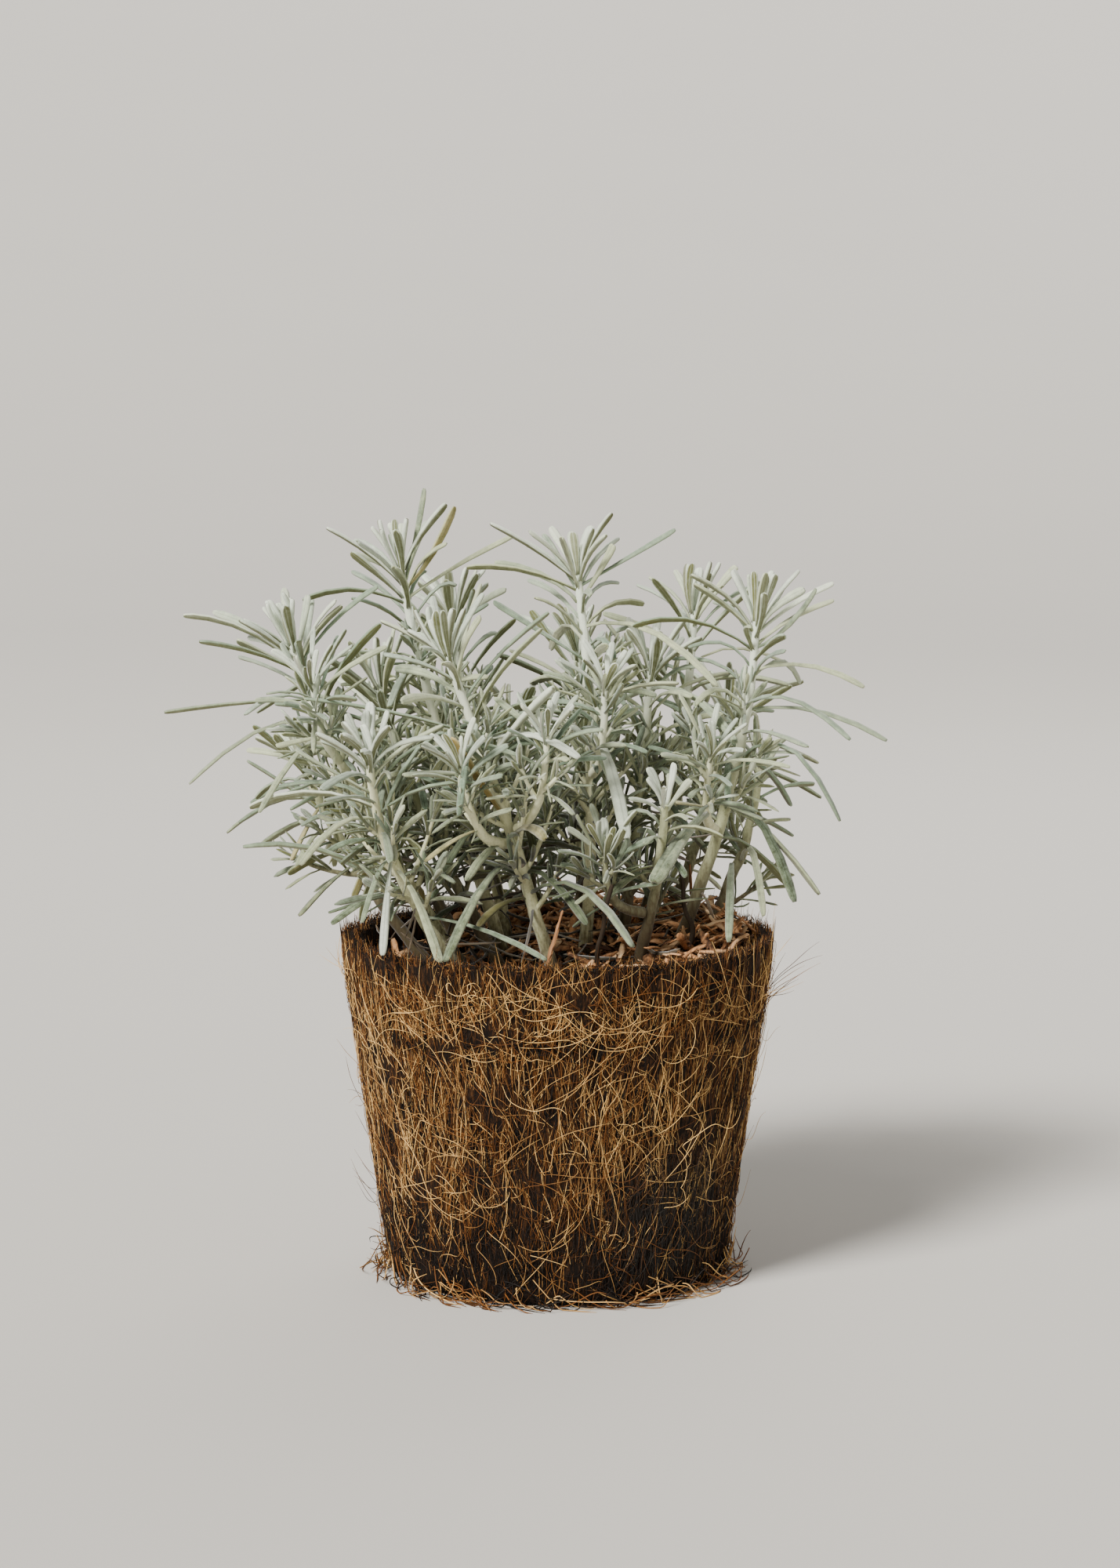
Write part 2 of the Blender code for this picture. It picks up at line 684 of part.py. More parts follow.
def main():
    """Build the pot, its filling and the plant."""
    clear_scene()
    build_pot()
    filling = [build_compost(), build_mulch()]
    cut_sockets(filling, MAIN_SHOOTS + TWIGS)
    build_splinter("wood_splinter_front", (-5, -50), (1, -44, 114), 3.2, 1.6)
    build_splinter("wood_splinter_back", (42, 34), (41, 37, 116), 2.6, 1.4)
    build_splinter("wood_splinter_side", (47, -20), (53, -15, 107), 3.0, 1.4)
    build_root_fringe()
    mains = {shoot.name: shoot for shoot in MAIN_SHOOTS}
    build_plant(MAIN_SHOOTS + tuple(seated(branch, mains) for branch in BRANCHES))


main()
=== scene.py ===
"""The looks of a potted curry plant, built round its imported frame.

Lengths are in metres in the frame's own axes: the origin is the middle of the pot's base, +Z is up
and the front faces -Y. Stems follow the frame's stems, and leaves, fibres and bark are grown on
paths and surfaces that come from the frame's nodes.
"""

import logging
import math
from collections.abc import Callable, Mapping, Sequence
from dataclasses import dataclass, field, replace
from enum import Enum
from typing import ClassVar

import bmesh
import bpy
import numpy as np
from mathutils import Matrix, Vector, noise


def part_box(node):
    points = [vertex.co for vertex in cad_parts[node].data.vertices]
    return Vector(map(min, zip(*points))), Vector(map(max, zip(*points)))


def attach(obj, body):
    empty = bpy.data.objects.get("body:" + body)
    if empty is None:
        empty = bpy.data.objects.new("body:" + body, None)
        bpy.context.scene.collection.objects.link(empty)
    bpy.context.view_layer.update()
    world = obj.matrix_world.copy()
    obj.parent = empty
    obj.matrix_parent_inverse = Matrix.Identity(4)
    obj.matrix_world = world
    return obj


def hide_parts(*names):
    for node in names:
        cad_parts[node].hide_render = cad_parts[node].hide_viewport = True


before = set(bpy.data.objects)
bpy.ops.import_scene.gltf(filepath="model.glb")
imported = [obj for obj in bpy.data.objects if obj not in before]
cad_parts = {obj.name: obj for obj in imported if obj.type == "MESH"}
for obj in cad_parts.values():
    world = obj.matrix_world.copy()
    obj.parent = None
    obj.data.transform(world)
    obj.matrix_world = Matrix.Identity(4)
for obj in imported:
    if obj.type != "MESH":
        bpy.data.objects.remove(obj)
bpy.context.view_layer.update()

MM = 0.001
FULL_TURN = 2 * math.pi
GOLDEN_ANGLE = math.radians(137.508)
# The seed of the noise that the stems sway by.
SWAY_SEED = 7
UP = np.array((0.0, 0.0, 1.0))
BODY = "root"
log = logging.getLogger("curry_plant")

Triple = tuple[float, float, float]
Colour = Triple
Settings = Mapping[str, object]


# ---------------------------------------------------------------- node trees


def operator(operation: str, swapped: bool = False) -> Callable[["Wire", object], "Wire"]:
    """An operator of Wire.

    Args:
        operation: the operation of the node that does it.
        swapped: True for the reflected form, which has the wire on the right.

    Returns:
        The method.
    """

    def method(self: "Wire", other: object) -> "Wire":
        """Join the wire and the other value in a Math or Vector Math node.

        Args:
            self: the wire.
            other: a wire, a number or a tuple.

        Returns:
            The result.
        """
        pair = (other, self) if swapped else (self, other)
        kind = "ShaderNodeVectorMath" if any(map(is_vector, pair)) else "ShaderNodeMath"
        return self.graph.wire(kind, {"operation": operation}, dict(enumerate(pair)))

    return method


class Wire:
    """An output socket of a shader or geometry tree that takes part in arithmetic."""

    def __init__(self, graph: "Graph", socket: bpy.types.NodeSocket) -> None:
        """Hold a socket and the graph that it belongs to."""
        self.graph = graph
        self.socket = socket

    __add__, __radd__ = operator("ADD"), operator("ADD", swapped=True)
    __sub__, __rsub__ = operator("SUBTRACT"), operator("SUBTRACT", swapped=True)
    __mul__, __rmul__ = operator("MULTIPLY"), operator("MULTIPLY", swapped=True)
    __truediv__, __rtruediv__ = operator("DIVIDE"), operator("DIVIDE", swapped=True)
    __pow__ = operator("POWER")


def is_vector(value: object) -> bool:
    """Tell whether a value has three numbers.

    Args:
        value: a wire, a number, a tuple or a vector.

    Returns:
        True for a vector socket, a tuple or a vector.
    """
    if isinstance(value, Wire):
        return value.socket.type == "VECTOR"
    return isinstance(value, (tuple, Vector))


class Graph:
    """A node tree that is written as expressions."""

    def __init__(self, tree: bpy.types.NodeTree) -> None:
        """Start on a tree, which may already hold nodes."""
        self.tree = tree

    def connect(self, socket: bpy.types.NodeSocket, value: object) -> None:
        """Link a wire to an input socket, or set its value.

        Args:
            socket: the input.
            value: a Wire, a list of Wires for a socket that takes several, or a plain value.
        """
        if isinstance(value, list):
            for wire in value:
                self.tree.links.new(wire.socket, socket)
        elif isinstance(value, Wire):
            self.tree.links.new(value.socket, socket)
        elif socket.type == "VECTOR" and isinstance(value, (int, float)):
            socket.default_value = (value, value, value)
        elif socket.type == "RGBA":
            socket.default_value = (*value, 1.0)
        else:
            socket.default_value = value

    def node(
        self, kind: str, settings: Settings | None = None, inputs: Mapping | None = None
    ) -> bpy.types.Node:
        """Add any node.

        Args:
            kind: the node's type.
            settings: its own properties, and "stops" for a ramp's (place, colour) pairs.
            inputs: values or wires for its sockets, by name or number.

        Returns:
            The new node.
        """
        made = self.tree.nodes.new(kind)
        for name, value in (settings or {}).items():
            if name == "stops":
                set_stops(made.color_ramp, value)
            else:
                setattr(made, name, value)
        for key, value in (inputs or {}).items():
            self.connect(made.inputs[key], value)
        return made

    def wire(
        self, kind: str, settings: Settings | None = None, inputs: Mapping | None = None,
        output: str | int = 0,
    ) -> Wire:
        """Add a node and return one of its outputs as a Wire."""
        return Wire(self, self.node(kind, settings, inputs).outputs[output])

    def math(self, operation: str, *values: object) -> Wire:
        """A Math node on numbers."""
        return self.wire("ShaderNodeMath", {"operation": operation}, dict(enumerate(values)))

    def vector_math(self, operation: str, *values: object) -> Wire:
        """A Vector Math node on vectors."""
        return self.wire("ShaderNodeVectorMath", {"operation": operation}, dict(enumerate(values)))

    def measure(self, operation: str, first: object, second: object) -> Wire:
        """The number that a Vector Math node makes of two vectors."""
        return self.wire("ShaderNodeVectorMath", {"operation": operation}, {0: first, 1: second}, "Value")

    def vector(self, x: object, y: object, z: object) -> Wire:
        """A vector of three numbers."""
        return self.wire("ShaderNodeCombineXYZ", None, {0: x, 1: y, 2: z})

    def parts(self, vector: Wire) -> tuple[Wire, Wire, Wire]:
        """The three numbers of a vector."""
        split = self.node("ShaderNodeSeparateXYZ", None, {0: vector})
        return tuple(Wire(self, output) for output in split.outputs)

    def spread(self, value: Wire, low: float, high: float, to: tuple[float, float] = (0, 1)) -> Wire:
        """A smooth step of value from low to high, mapped to two ends and held there."""
        sockets = {"Value": value, "From Min": low, "From Max": high, "To Min": to[0], "To Max": to[1]}
        return self.wire("ShaderNodeMapRange", {"interpolation_type": "SMOOTHSTEP"}, sockets)

    def noise(self, vector: Wire, scale: float, detail: float = 2, roughness: float = 0.5) -> Wire:
        """Fractal noise from 0 to 1."""
        sockets = {"Vector": vector, "Scale": scale, "Detail": detail, "Roughness": roughness}
        return self.wire("ShaderNodeTexNoise", None, sockets)

    def mix(self, factor: object, first: object, second: object, blend: str = "MIX") -> Wire:
        """Two colours mixed, or blended in another way, as far as factor says."""
        settings = {"data_type": "RGBA", "blend_type": blend}
        return self.wire("ShaderNodeMix", settings, {0: factor, 6: first, 7: second}, 2)

    def bump(self, height: Wire, depth: float, strength: float) -> Wire:
        """The normal of a surface raised by a height from 0 to 1 times depth."""
        sockets = {"Height": height, "Distance": depth, "Strength": strength}
        return self.wire("ShaderNodeBump", None, sockets, "Normal")

    def place(self) -> Wire:
        """Object coordinates in a material."""
        return self.wire("ShaderNodeTexCoord", None, None, "Object")

    def fact(self, name: str) -> Wire:
        """A number kept on the mesh, read in a material."""
        return self.wire("ShaderNodeAttribute", {"attribute_name": name}, None, "Fac")

    def ramp(self, value: Wire, *stops: tuple[float, Colour]) -> Wire:
        """A colour read from a ramp."""
        return self.wire("ShaderNodeValToRGB", {"stops": stops}, {0: value})


def set_stops(ramp: bpy.types.ColorRamp, stops: Sequence[tuple[float, tuple]]) -> None:
    """Give a ramp its stops.

    Args:
        ramp: the ramp, whose own stops go.
        stops: each stop's place and colour.
    """
    while len(ramp.elements) > len(stops):
        ramp.elements.remove(ramp.elements[-1])
    while len(ramp.elements) < len(stops):
        ramp.elements.new(1.0)
    for element, (place, colour) in zip(ramp.elements, stops):
        element.position = place
        element.color = (*colour, 1.0)


class Recipe(Graph):
    """A geometry tree with named inputs, which makes one kind of piece."""

    def __init__(self, name: str, inputs: Mapping[str, tuple[str, object]]) -> None:
        """Start the tree.

        Args:
            name: the tree's name.
            inputs: each input's socket type, such as "Float", and its default.
        """
        super().__init__(bpy.data.node_groups.new(name, "GeometryNodeTree"))
        face = self.tree.interface
        face.new_socket("Geometry", in_out="INPUT", socket_type="NodeSocketGeometry")
        face.new_socket("Geometry", in_out="OUTPUT", socket_type="NodeSocketGeometry")
        self.identifiers: dict[str, str] = {}
        for label, (kind, default) in inputs.items():
            socket = face.new_socket(label, in_out="INPUT", socket_type=f"NodeSocket{kind}")
            if default is not None:
                socket.default_value = default
            self.identifiers[label] = socket.identifier
        self.entry = self.tree.nodes.new("NodeGroupInput")

    def given(self, label: str) -> Wire:
        """The wire of a named input."""
        return Wire(self, self.entry.outputs[label])

    def store(self, geometry: Wire, facts: Mapping[str, Wire]) -> Wire:
        """Keep named values on the points of a geometry.

        Args:
            geometry: the geometry.
            facts: each value, a number or a vector, by its name.

        Returns:
            The geometry with them.
        """
        for name, value in facts.items():
            settings = {"data_type": "FLOAT_VECTOR" if is_vector(value) else "FLOAT"}
            sockets = {"Geometry": geometry, "Name": name, "Value": value}
            geometry = self.wire("GeometryNodeStoreNamedAttribute", settings, sockets)
        return geometry

    def kept(self, name: str, vector: bool = False) -> Wire:
        """A value kept under a name."""
        settings = {"data_type": "FLOAT_VECTOR" if vector else "FLOAT"}
        return self.wire("GeometryNodeInputNamedAttribute", settings, {"Name": name})

    def chance(self, low: float, high: float, salt: int) -> Wire:
        """A random number from low to high for each point, the same on every run."""
        sockets = {2: low, 3: high, "Seed": self.given("Seed") + salt}
        return self.wire("FunctionNodeRandomValue", {"data_type": "FLOAT"}, sockets, 1)

    def range(self, low: str, high: str, share: Wire) -> Wire:
        """The number at a share of the way from one named input to another."""
        return self.given(low) + (self.given(high) - self.given(low)) * share

    def moved(self, geometry: Wire, position: Wire) -> Wire:
        """The geometry with its points at these places."""
        return self.wire("GeometryNodeSetPosition", None, {"Geometry": geometry, "Position": position})

    def copies(self, points: Wire, shape: Wire) -> Wire:
        """A real copy of a shape on every point."""
        made = self.wire("GeometryNodeInstanceOnPoints", None, {"Points": points, "Instance": shape})
        return self.wire("GeometryNodeRealizeInstances", None, {0: made})

    def tube(self, curve: Wire, thickness: Wire) -> Wire:
        """Closed tubes along curves, with as many sides as the input of that name says.

        Args:
            curve: the curves.
            thickness: the tubes' radius.

        Returns:
            The tubes.
        """
        sockets = {"Resolution": self.given("Sides"), "Radius": 1.0}
        ring = self.wire("GeometryNodeCurvePrimitiveCircle", {"mode": "RADIUS"}, sockets)
        sockets = {"Curve": curve, "Profile Curve": ring, "Fill Caps": True, "Scale": thickness}
        return self.wire("GeometryNodeCurveToMesh", None, sockets)

    def object_shape(self, label: str) -> Wire:
        """The geometry of the object given to an input."""
        return self.wire("GeometryNodeObjectInfo", None, {"Object": self.given(label)}, "Geometry")

    def close(self, geometry: Wire) -> None:
        """End the tree: real geometry, smooth, in the given material.

        Args:
            geometry: what the tree has made.
        """
        real = self.wire("GeometryNodeRealizeInstances", None, {0: geometry})
        smooth = self.wire("GeometryNodeSetShadeSmooth", None, {"Geometry": real, "Shade Smooth": True})
        sockets = {"Geometry": smooth, "Material": self.given("Material")}
        dressed = self.wire("GeometryNodeSetMaterial", None, sockets)
        leave = self.tree.nodes.new("NodeGroupOutput")
        self.connect(leave.inputs[0], dressed)

    def make(self, name: str, base: bpy.types.ID | None, values: Settings) -> bpy.types.Object:
        """Run the tree and keep its result as a plain mesh.

        Args:
            name: the piece's name.
            base: the mesh or curve data the tree starts from, or None for an empty mesh.
            values: the named inputs' values.

        Returns:
            A mesh object at the origin, with no modifier.
        """
        holder = placed(f"{name}_base", base or bpy.data.meshes.new(name))
        modifier = holder.modifiers.new("recipe", "NODES")
        modifier.node_group = self.tree
        for label, value in values.items():
            modifier[self.identifiers[label]] = value
        holder.update_tag()
        bpy.context.view_layer.update()
        graph = bpy.context.evaluated_depsgraph_get()
        mesh = bpy.data.meshes.new_from_object(holder.evaluated_get(graph), depsgraph=graph)
        bpy.data.objects.remove(holder)
        mesh.name = name
        return placed(name, mesh)


# ---------------------------------------------------------------- finishes


@dataclass(frozen=True)
class Finish:
    """A material that is built once and shared by the pieces that wear it."""

    CONSTANTS: ClassVar[Mapping[str, float]] = {}

    name: str
    slot: str

    def material(self) -> bpy.types.Material:
        """The material, built the first time it is asked for.

        Returns:
            The material.
        """
        found = bpy.data.materials.get(self.name)
        if found is None:
            found = bpy.data.materials.new(self.name)
            found.use_nodes = True
            shader = found.node_tree.nodes["Principled BSDF"]
            for socket, value in self.CONSTANTS.items():
                shader.inputs[socket].default_value = value
            graph = Graph(found.node_tree)
            for socket, wire in self.paint(graph).items():
                graph.connect(shader.inputs[socket], wire)
        return found

    def paint(self, graph: Graph) -> dict[str, Wire]:
        """Add the material's nodes.

        Args:
            graph: the material's tree.

        Returns:
            What feeds each socket of the Principled shader that varies over the surface.
        """
        raise NotImplementedError

    def dress(self, piece: bpy.types.Object) -> None:
        """Put the material on every face of a piece.

        Args:
            piece: a mesh object.
        """
        piece.data.materials.clear()
        piece.data.materials.append(self.material())


@dataclass(frozen=True)
class LeafFelt(Finish):
    """White felt over a green leaf: thick on young leaves and above, thin below and with age, and painted
    shade low down.
    """

    CONSTANTS = {"Sheen Weight": 0.35, "Sheen Roughness": 0.6, "Specular IOR Level": 0.25}

    young_felt: Colour = (0.85, 0.92, 0.79)
    cool_felt: Colour = (0.30, 0.42, 0.31)
    warm_felt: Colour = (0.53, 0.57, 0.36)
    blade: Colour = (0.075, 0.105, 0.036)
    blade_shade: Colour = (0.018, 0.027, 0.008)
    olive: Colour = (0.16, 0.165, 0.045)
    ageing: Colour = (0.42, 0.29, 0.07)
    # Painted shade on leaves low on the plant and near its middle: less felt, and a dark green tint
    # multiplied in.
    shade_from: float = 175 * MM
    shade_to: float = 110 * MM
    shade_inside: float = 22 * MM
    shade_outside: float = 52 * MM
    shade_green: Colour = (0.25, 0.275, 0.165)

    def paint(self, graph: Graph) -> dict[str, Wire]:
        """Blend felt over blade by side, rib, age and mottling, and paint shade on the lower and inner
        leaves.

        Args:
            graph: the material's tree.

        Returns:
            What feeds the shader's sockets.
        """
        place = graph.place()
        across, under, tone, age = (graph.fact(name) for name in ("across", "under", "tone", "age"))
        wool = graph.noise(place, 2200, 3, 0.7)
        patch = graph.noise(place, 420, 2, 0.55)
        x, y, z = graph.parts(place)
        # Painted shade: less felt on leaves low down, and the inner leaves low down darkened.
        low = graph.spread(z, self.shade_to, self.shade_from, (1, 0))
        reach = graph.math("SQRT", x * x + y * y)
        inner_shade = graph.spread(reach, self.shade_inside, self.shade_outside, (1, 0)) * low
        edge = graph.math("ABSOLUTE", across)
        rib = graph.spread(edge, 0.0, 0.2, (1, 0))
        margin = graph.spread(edge, 0.55, 0.85)
        cover_above = 0.93 - age * 0.45 - rib * 0.22 - low * 0.3
        cover_below = 0.08 + margin * 0.68 + rib * 0.3 - low * 0.2
        cover = cover_above + under * (cover_below - cover_above)
        worn = (patch - 0.5) * (0.35 + age * 0.7) + (wool - 0.5) * (0.25 + age * 0.7)
        cover = graph.math("ADD", cover, worn + (tone - 0.5) * 0.3)
        cover.socket.node.use_clamp = True
        felt = graph.mix(graph.spread(tone + patch * 0.4, 0.2, 1.2), self.cool_felt, self.warm_felt)
        felt = graph.mix(graph.spread(age + (tone - 0.5) * 0.2, 0.0, 0.42), self.young_felt, felt)
        blade = graph.mix(patch, self.blade_shade, self.blade)
        blade = graph.mix(under * 0.85, blade, self.olive)
        yellow = graph.spread(age + tone * 0.35 + patch * 0.3, 1.12, 1.5)
        blade = graph.mix(yellow, blade, self.ageing)
        colour = graph.mix(cover, blade, felt)
        colour = graph.mix(yellow * 0.6, colour, self.ageing)
        # Painted shade: the inner, lower leaves are multiplied by a dark green.
        colour = graph.mix(graph.math("MINIMUM", inner_shade * 1.4, 1.0), colour, self.shade_green, "MULTIPLY")
        bumps = graph.bump(wool, 0.06 * MM, 0.6)
        return {"Base Color": colour, "Roughness": 0.62 + wool * 0.3, "Normal": bumps}


@dataclass(frozen=True)
class StemFelt(Finish):
    """Pale yellow-green felt on a stem, wearing through to brown wood near the soil."""

    CONSTANTS = {"Sheen Weight": 0.25, "Specular IOR Level": 0.25}

    felt: Colour = (0.74, 0.74, 0.48)
    bark_green: Colour = (0.30, 0.30, 0.10)
    young_felt: Colour = (0.80, 0.86, 0.72)
    wood: Colour = (0.06, 0.035, 0.015)
    wood_from: float = 112 * MM
    wood_to: float = 94 * MM

    def paint(self, graph: Graph) -> dict[str, Wire]:
        """Blend felt, green bark and wood by height and mottling.

        Args:
            graph: the material's tree.

        Returns:
            What feeds the shader's sockets.
        """
        place = graph.place()
        height = graph.parts(place)[2]
        wool = graph.noise(place, 1300, 3, 0.6)
        streak = graph.noise(place * (1.0, 1.0, 0.22), 900, 2, 0.6)
        woody = graph.spread(height + (streak - 0.5) * 0.02, self.wood_to, self.wood_from, (1, 0))
        cover = graph.spread(wool * 0.4 + streak * 0.4 + (height - 0.13) * 3.0, 0.05, 0.5)
        felt = graph.mix(graph.spread(height, 0.14, 0.19), self.felt, self.young_felt)
        skin = graph.mix(cover, self.bark_green, felt)
        colour = graph.mix(woody * 0.9, skin, self.wood)
        normal = graph.bump(streak + wool * 0.5, 0.25 * MM, 0.7)
        return {"Base Color": colour, "Roughness": 0.65 + wool * 0.25, "Normal": normal}


@dataclass(frozen=True)
class CoirFibre(Finish):
    """Coconut fibre: each one its own golden brown, darker towards the foot of the pot, with painted shade
    along a fold.
    """

    CONSTANTS = {"Specular IOR Level": 0.35}

    dark: Colour = (0.004, 0.0016, 0.0005)
    middle: Colour = (0.22, 0.075, 0.010)
    pale: Colour = (1.0, 0.64, 0.24)
    damp: Colour = (0.020, 0.017, 0.014)
    darker_below: float = 54 * MM
    foot_shade: float = 0.7
    stain_at: Colour = (0.034, -0.038, 0.026)
    crease_at: float = 79 * MM

    def paint(self, graph: Graph) -> dict[str, Wire]:
        """Colour by each fibre's tone, its height, a damp patch and painted shade along a fold.

        Args:
            graph: the material's tree.

        Returns:
            What feeds the shader's sockets.
        """
        place = graph.place()
        z = graph.parts(place)[2]
        tone = graph.fact("tone")
        cloud = graph.noise(place, 42, 2, 0.5)
        grain = graph.noise(place, 1600, 2, 0.6)
        # Fibres darker towards the foot of the pot, pale ones less so.
        foot = graph.spread(z + (cloud - 0.5) * 0.06, 0.0, self.darker_below, (self.foot_shade, 0))
        stain = graph.spread(graph.measure("DISTANCE", place, self.stain_at), 0.008, 0.034, (1, 0))
        # Painted shade: a dark band along a fold round the pot, weaker on pale fibres.
        off_crease = graph.math("ABSOLUTE", z - self.crease_at + (cloud - 0.5) * 0.016)
        crease_shade = graph.spread(off_crease, 0.0, 0.004, (0.55, 0)) * graph.spread(cloud, 0.4, 0.55)
        shade = tone + (cloud - 0.5) * 0.22 + (grain - 0.5) * 0.2 - foot * (1.25 - tone * 0.75)
        shade = shade - crease_shade * (1.15 - tone)
        colour = graph.ramp(shade, (0.05, self.dark), (0.5, self.middle), (1.0, self.pale))
        colour = graph.mix(stain * graph.spread(tone, 0.95, 0.5), colour, self.damp)
        bumps = graph.bump(grain, 0.05 * MM, 0.5)
        return {"Base Color": colour, "Roughness": 0.5 + grain * 0.35, "Normal": bumps}


@dataclass(frozen=True)
class CoirMat(Finish):
    """The pressed mat behind the loose fibres: dark coir strands, with near-black painted shade in the gaps
    between them.
    """

    CONSTANTS = {"Specular IOR Level": 0.2}

    # Near-black painted shade for the gaps, and dark coir brown for the strands.
    gap_shade: Colour = (0.004, 0.002, 0.001)
    strand: Colour = (0.075, 0.028, 0.006)

    def paint(self, graph: Graph) -> dict[str, Wire]:
        """Stretch noise up the wall into strands, with painted shade between them and darker towards the
        foot.

        Args:
            graph: the material's tree.

        Returns:
            What feeds the shader's sockets.
        """
        place = graph.place()
        z = graph.parts(place)[2]
        fine = graph.noise(place * (1.0, 1.0, 0.16), 1500, 3, 0.65)
        coarse = graph.noise(place * (1.0, 1.0, 0.35), 420, 2, 0.6)
        strands = graph.spread(fine * 0.65 + coarse * 0.35, 0.44, 0.66)
        # Strands fade to painted shade in the gaps, more so towards the foot.
        colour = graph.mix(strands * graph.spread(z, 0.0, 0.06, (0.45, 1.0)), self.gap_shade, self.strand)
        bumps = graph.bump(strands, 0.5 * MM, 0.9)
        return {"Base Color": colour, "Roughness": 0.95 - strands * 0.2, "Normal": bumps}


@dataclass(frozen=True)
class Bark(Finish):
    """Shredded bark: reddish brown slivers, some pale where they broke."""

    CONSTANTS = {"Specular IOR Level": 0.25}

    dark: Colour = (0.045, 0.019, 0.009)
    red: Colour = (0.56, 0.275, 0.12)
    pale: Colour = (0.80, 0.60, 0.37)

    def paint(self, graph: Graph) -> dict[str, Wire]:
        """Colour by each chip's tone, with grain along it.

        Args:
            graph: the material's tree.

        Returns:
            What feeds the shader's sockets.
        """
        place = graph.place()
        tone = graph.fact("tone")
        grain = graph.noise(place * (1.0, 1.0, 0.3), 1100, 3, 0.65)
        blotch = graph.noise(place, 260, 2, 0.5)
        shade = tone * 0.8 + (grain - 0.5) * 0.55 + (blotch - 0.5) * 0.5
        colour = graph.ramp(shade, (0.05, self.dark), (0.42, self.red), (0.98, self.pale))
        bumps = graph.bump(grain, 0.3 * MM, 0.8)
        return {"Base Color": colour, "Roughness": 0.7 + grain * 0.25, "Normal": bumps}


@dataclass(frozen=True)
class Compost(Finish):
    """Damp dark compost with a few pale crumbs."""

    wet: Colour = (0.006, 0.005, 0.004)
    crumb: Colour = (0.035, 0.024, 0.016)
    bit: Colour = (0.16, 0.09, 0.05)

    def paint(self, graph: Graph) -> dict[str, Wire]:
        """Crumbs over wet soil.

        Args:
            graph: the material's tree.

        Returns:
            What feeds the shader's sockets.
        """
        place = graph.place()
        lumps = graph.noise(place, 520, 4, 0.7)
        bits = graph.noise(place, 900, 2, 0.5)
        colour = graph.mix(graph.spread(lumps, 0.42, 0.66), self.wet, self.crumb)
        colour = graph.mix(graph.spread(bits, 0.64, 0.72), colour, self.bit)
        bumps = graph.bump(lumps, 0.9 * MM, 1.0)
        return {"Base Color": colour, "Roughness": 0.95 - lumps * 0.25, "Normal": bumps}


@dataclass(frozen=True)
class StudioPaper(Finish):
    """The plain pale floor."""

    CONSTANTS = {"Roughness": 0.9}

    colour: Colour = (0.58, 0.56, 0.53)

    def paint(self, graph: Graph) -> dict[str, Wire]:
        """A matt sheet with the faintest cloud in it.

        Args:
            graph: the material's tree.

        Returns:
            What feeds the shader's sockets.
        """
        cloud = graph.noise(graph.place(), 3, 2, 0.5)
        light = tuple(min(1.0, part * 1.03) for part in self.colour)
        return {"Base Color": graph.mix(cloud, self.colour, light)}


LEAF = LeafFelt("leaf_felt", "leaf")
DEAD_LEAF = LeafFelt(
    "dead_leaf", "leaf", young_felt=(0.2, 0.15, 0.09), cool_felt=(0.16, 0.12, 0.07),
    warm_felt=(0.26, 0.18, 0.10), blade=(0.09, 0.055, 0.03), blade_shade=(0.03, 0.018, 0.01),
    olive=(0.12, 0.075, 0.04), ageing=(0.16, 0.10, 0.05))
STEM = StemFelt("stem_felt", "stem")
SHADED_STEM = StemFelt(
    "shaded_stem_felt", "stem", felt=(0.44, 0.46, 0.27), bark_green=(0.11, 0.11, 0.04),
    wood_from=140 * MM, wood_to=104 * MM)
FIBRE = CoirFibre("coir_fibre", "coir")
ROOT_FIBRE = CoirFibre("root_fibre", "roots", darker_below=4 * MM, foot_shade=0.1)
MAT = CoirMat("coir_mat", "coir")
BARK = Bark("shredded_bark", "bark")
TWIG_BARK = Bark(
    "dead_bark", "dead_wood", dark=(0.03, 0.02, 0.012), red=(0.10, 0.06, 0.035), pale=(0.30, 0.22, 0.14))
SPLINTER = Bark(
    "fresh_wood", "bark", dark=(0.08, 0.03, 0.012), red=(0.30, 0.145, 0.065), pale=(0.55, 0.34, 0.19))
SOIL = Compost("compost_crumbs", "compost")
PAPER = StudioPaper("studio_paper", "")


# ---------------------------------------------------------------- small helpers


def own(piece: bpy.types.Object, finish: Finish, *nodes: str) -> None:
    """Dress a finished piece, ride it on the pot's body, and let it stand for CAD nodes.

    Args:
        piece: the finished mesh.
        finish: what it is made of.
        nodes: the CAD nodes that it stands for, if any.
    """
    finish.dress(piece)
    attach(piece, BODY)
    if nodes:
        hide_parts(*nodes)
    triangles = sum(len(face.vertices) - 2 for face in piece.data.polygons)
    log.info("%s: %d triangles, %s", piece.name, triangles, finish.name)


def placed(name: str, data: bpy.types.ID | None) -> bpy.types.Object:
    """A new object in the scene, at the origin.

    Args:
        name: its name.
        data: its mesh, curve, camera or light.

    Returns:
        The object.
    """
    made = bpy.data.objects.new(name, data)
    bpy.context.scene.collection.objects.link(made)
    return made


def discard(*helpers: bpy.types.Object) -> None:
    """Remove objects that were only needed on the way."""
    for helper in helpers:
        bpy.data.objects.remove(helper)


def smooth_from(name: str, bm: bmesh.types.BMesh) -> bpy.types.Object:
    """A smooth mesh object of a bmesh, which is freed.

    Args:
        name: the object's name.
        bm: the bmesh.

    Returns:
        The object.
    """
    mesh = bpy.data.meshes.new(name)
    bm.to_mesh(mesh)
    bm.free()
    mesh.shade_smooth()
    return placed(name, mesh)


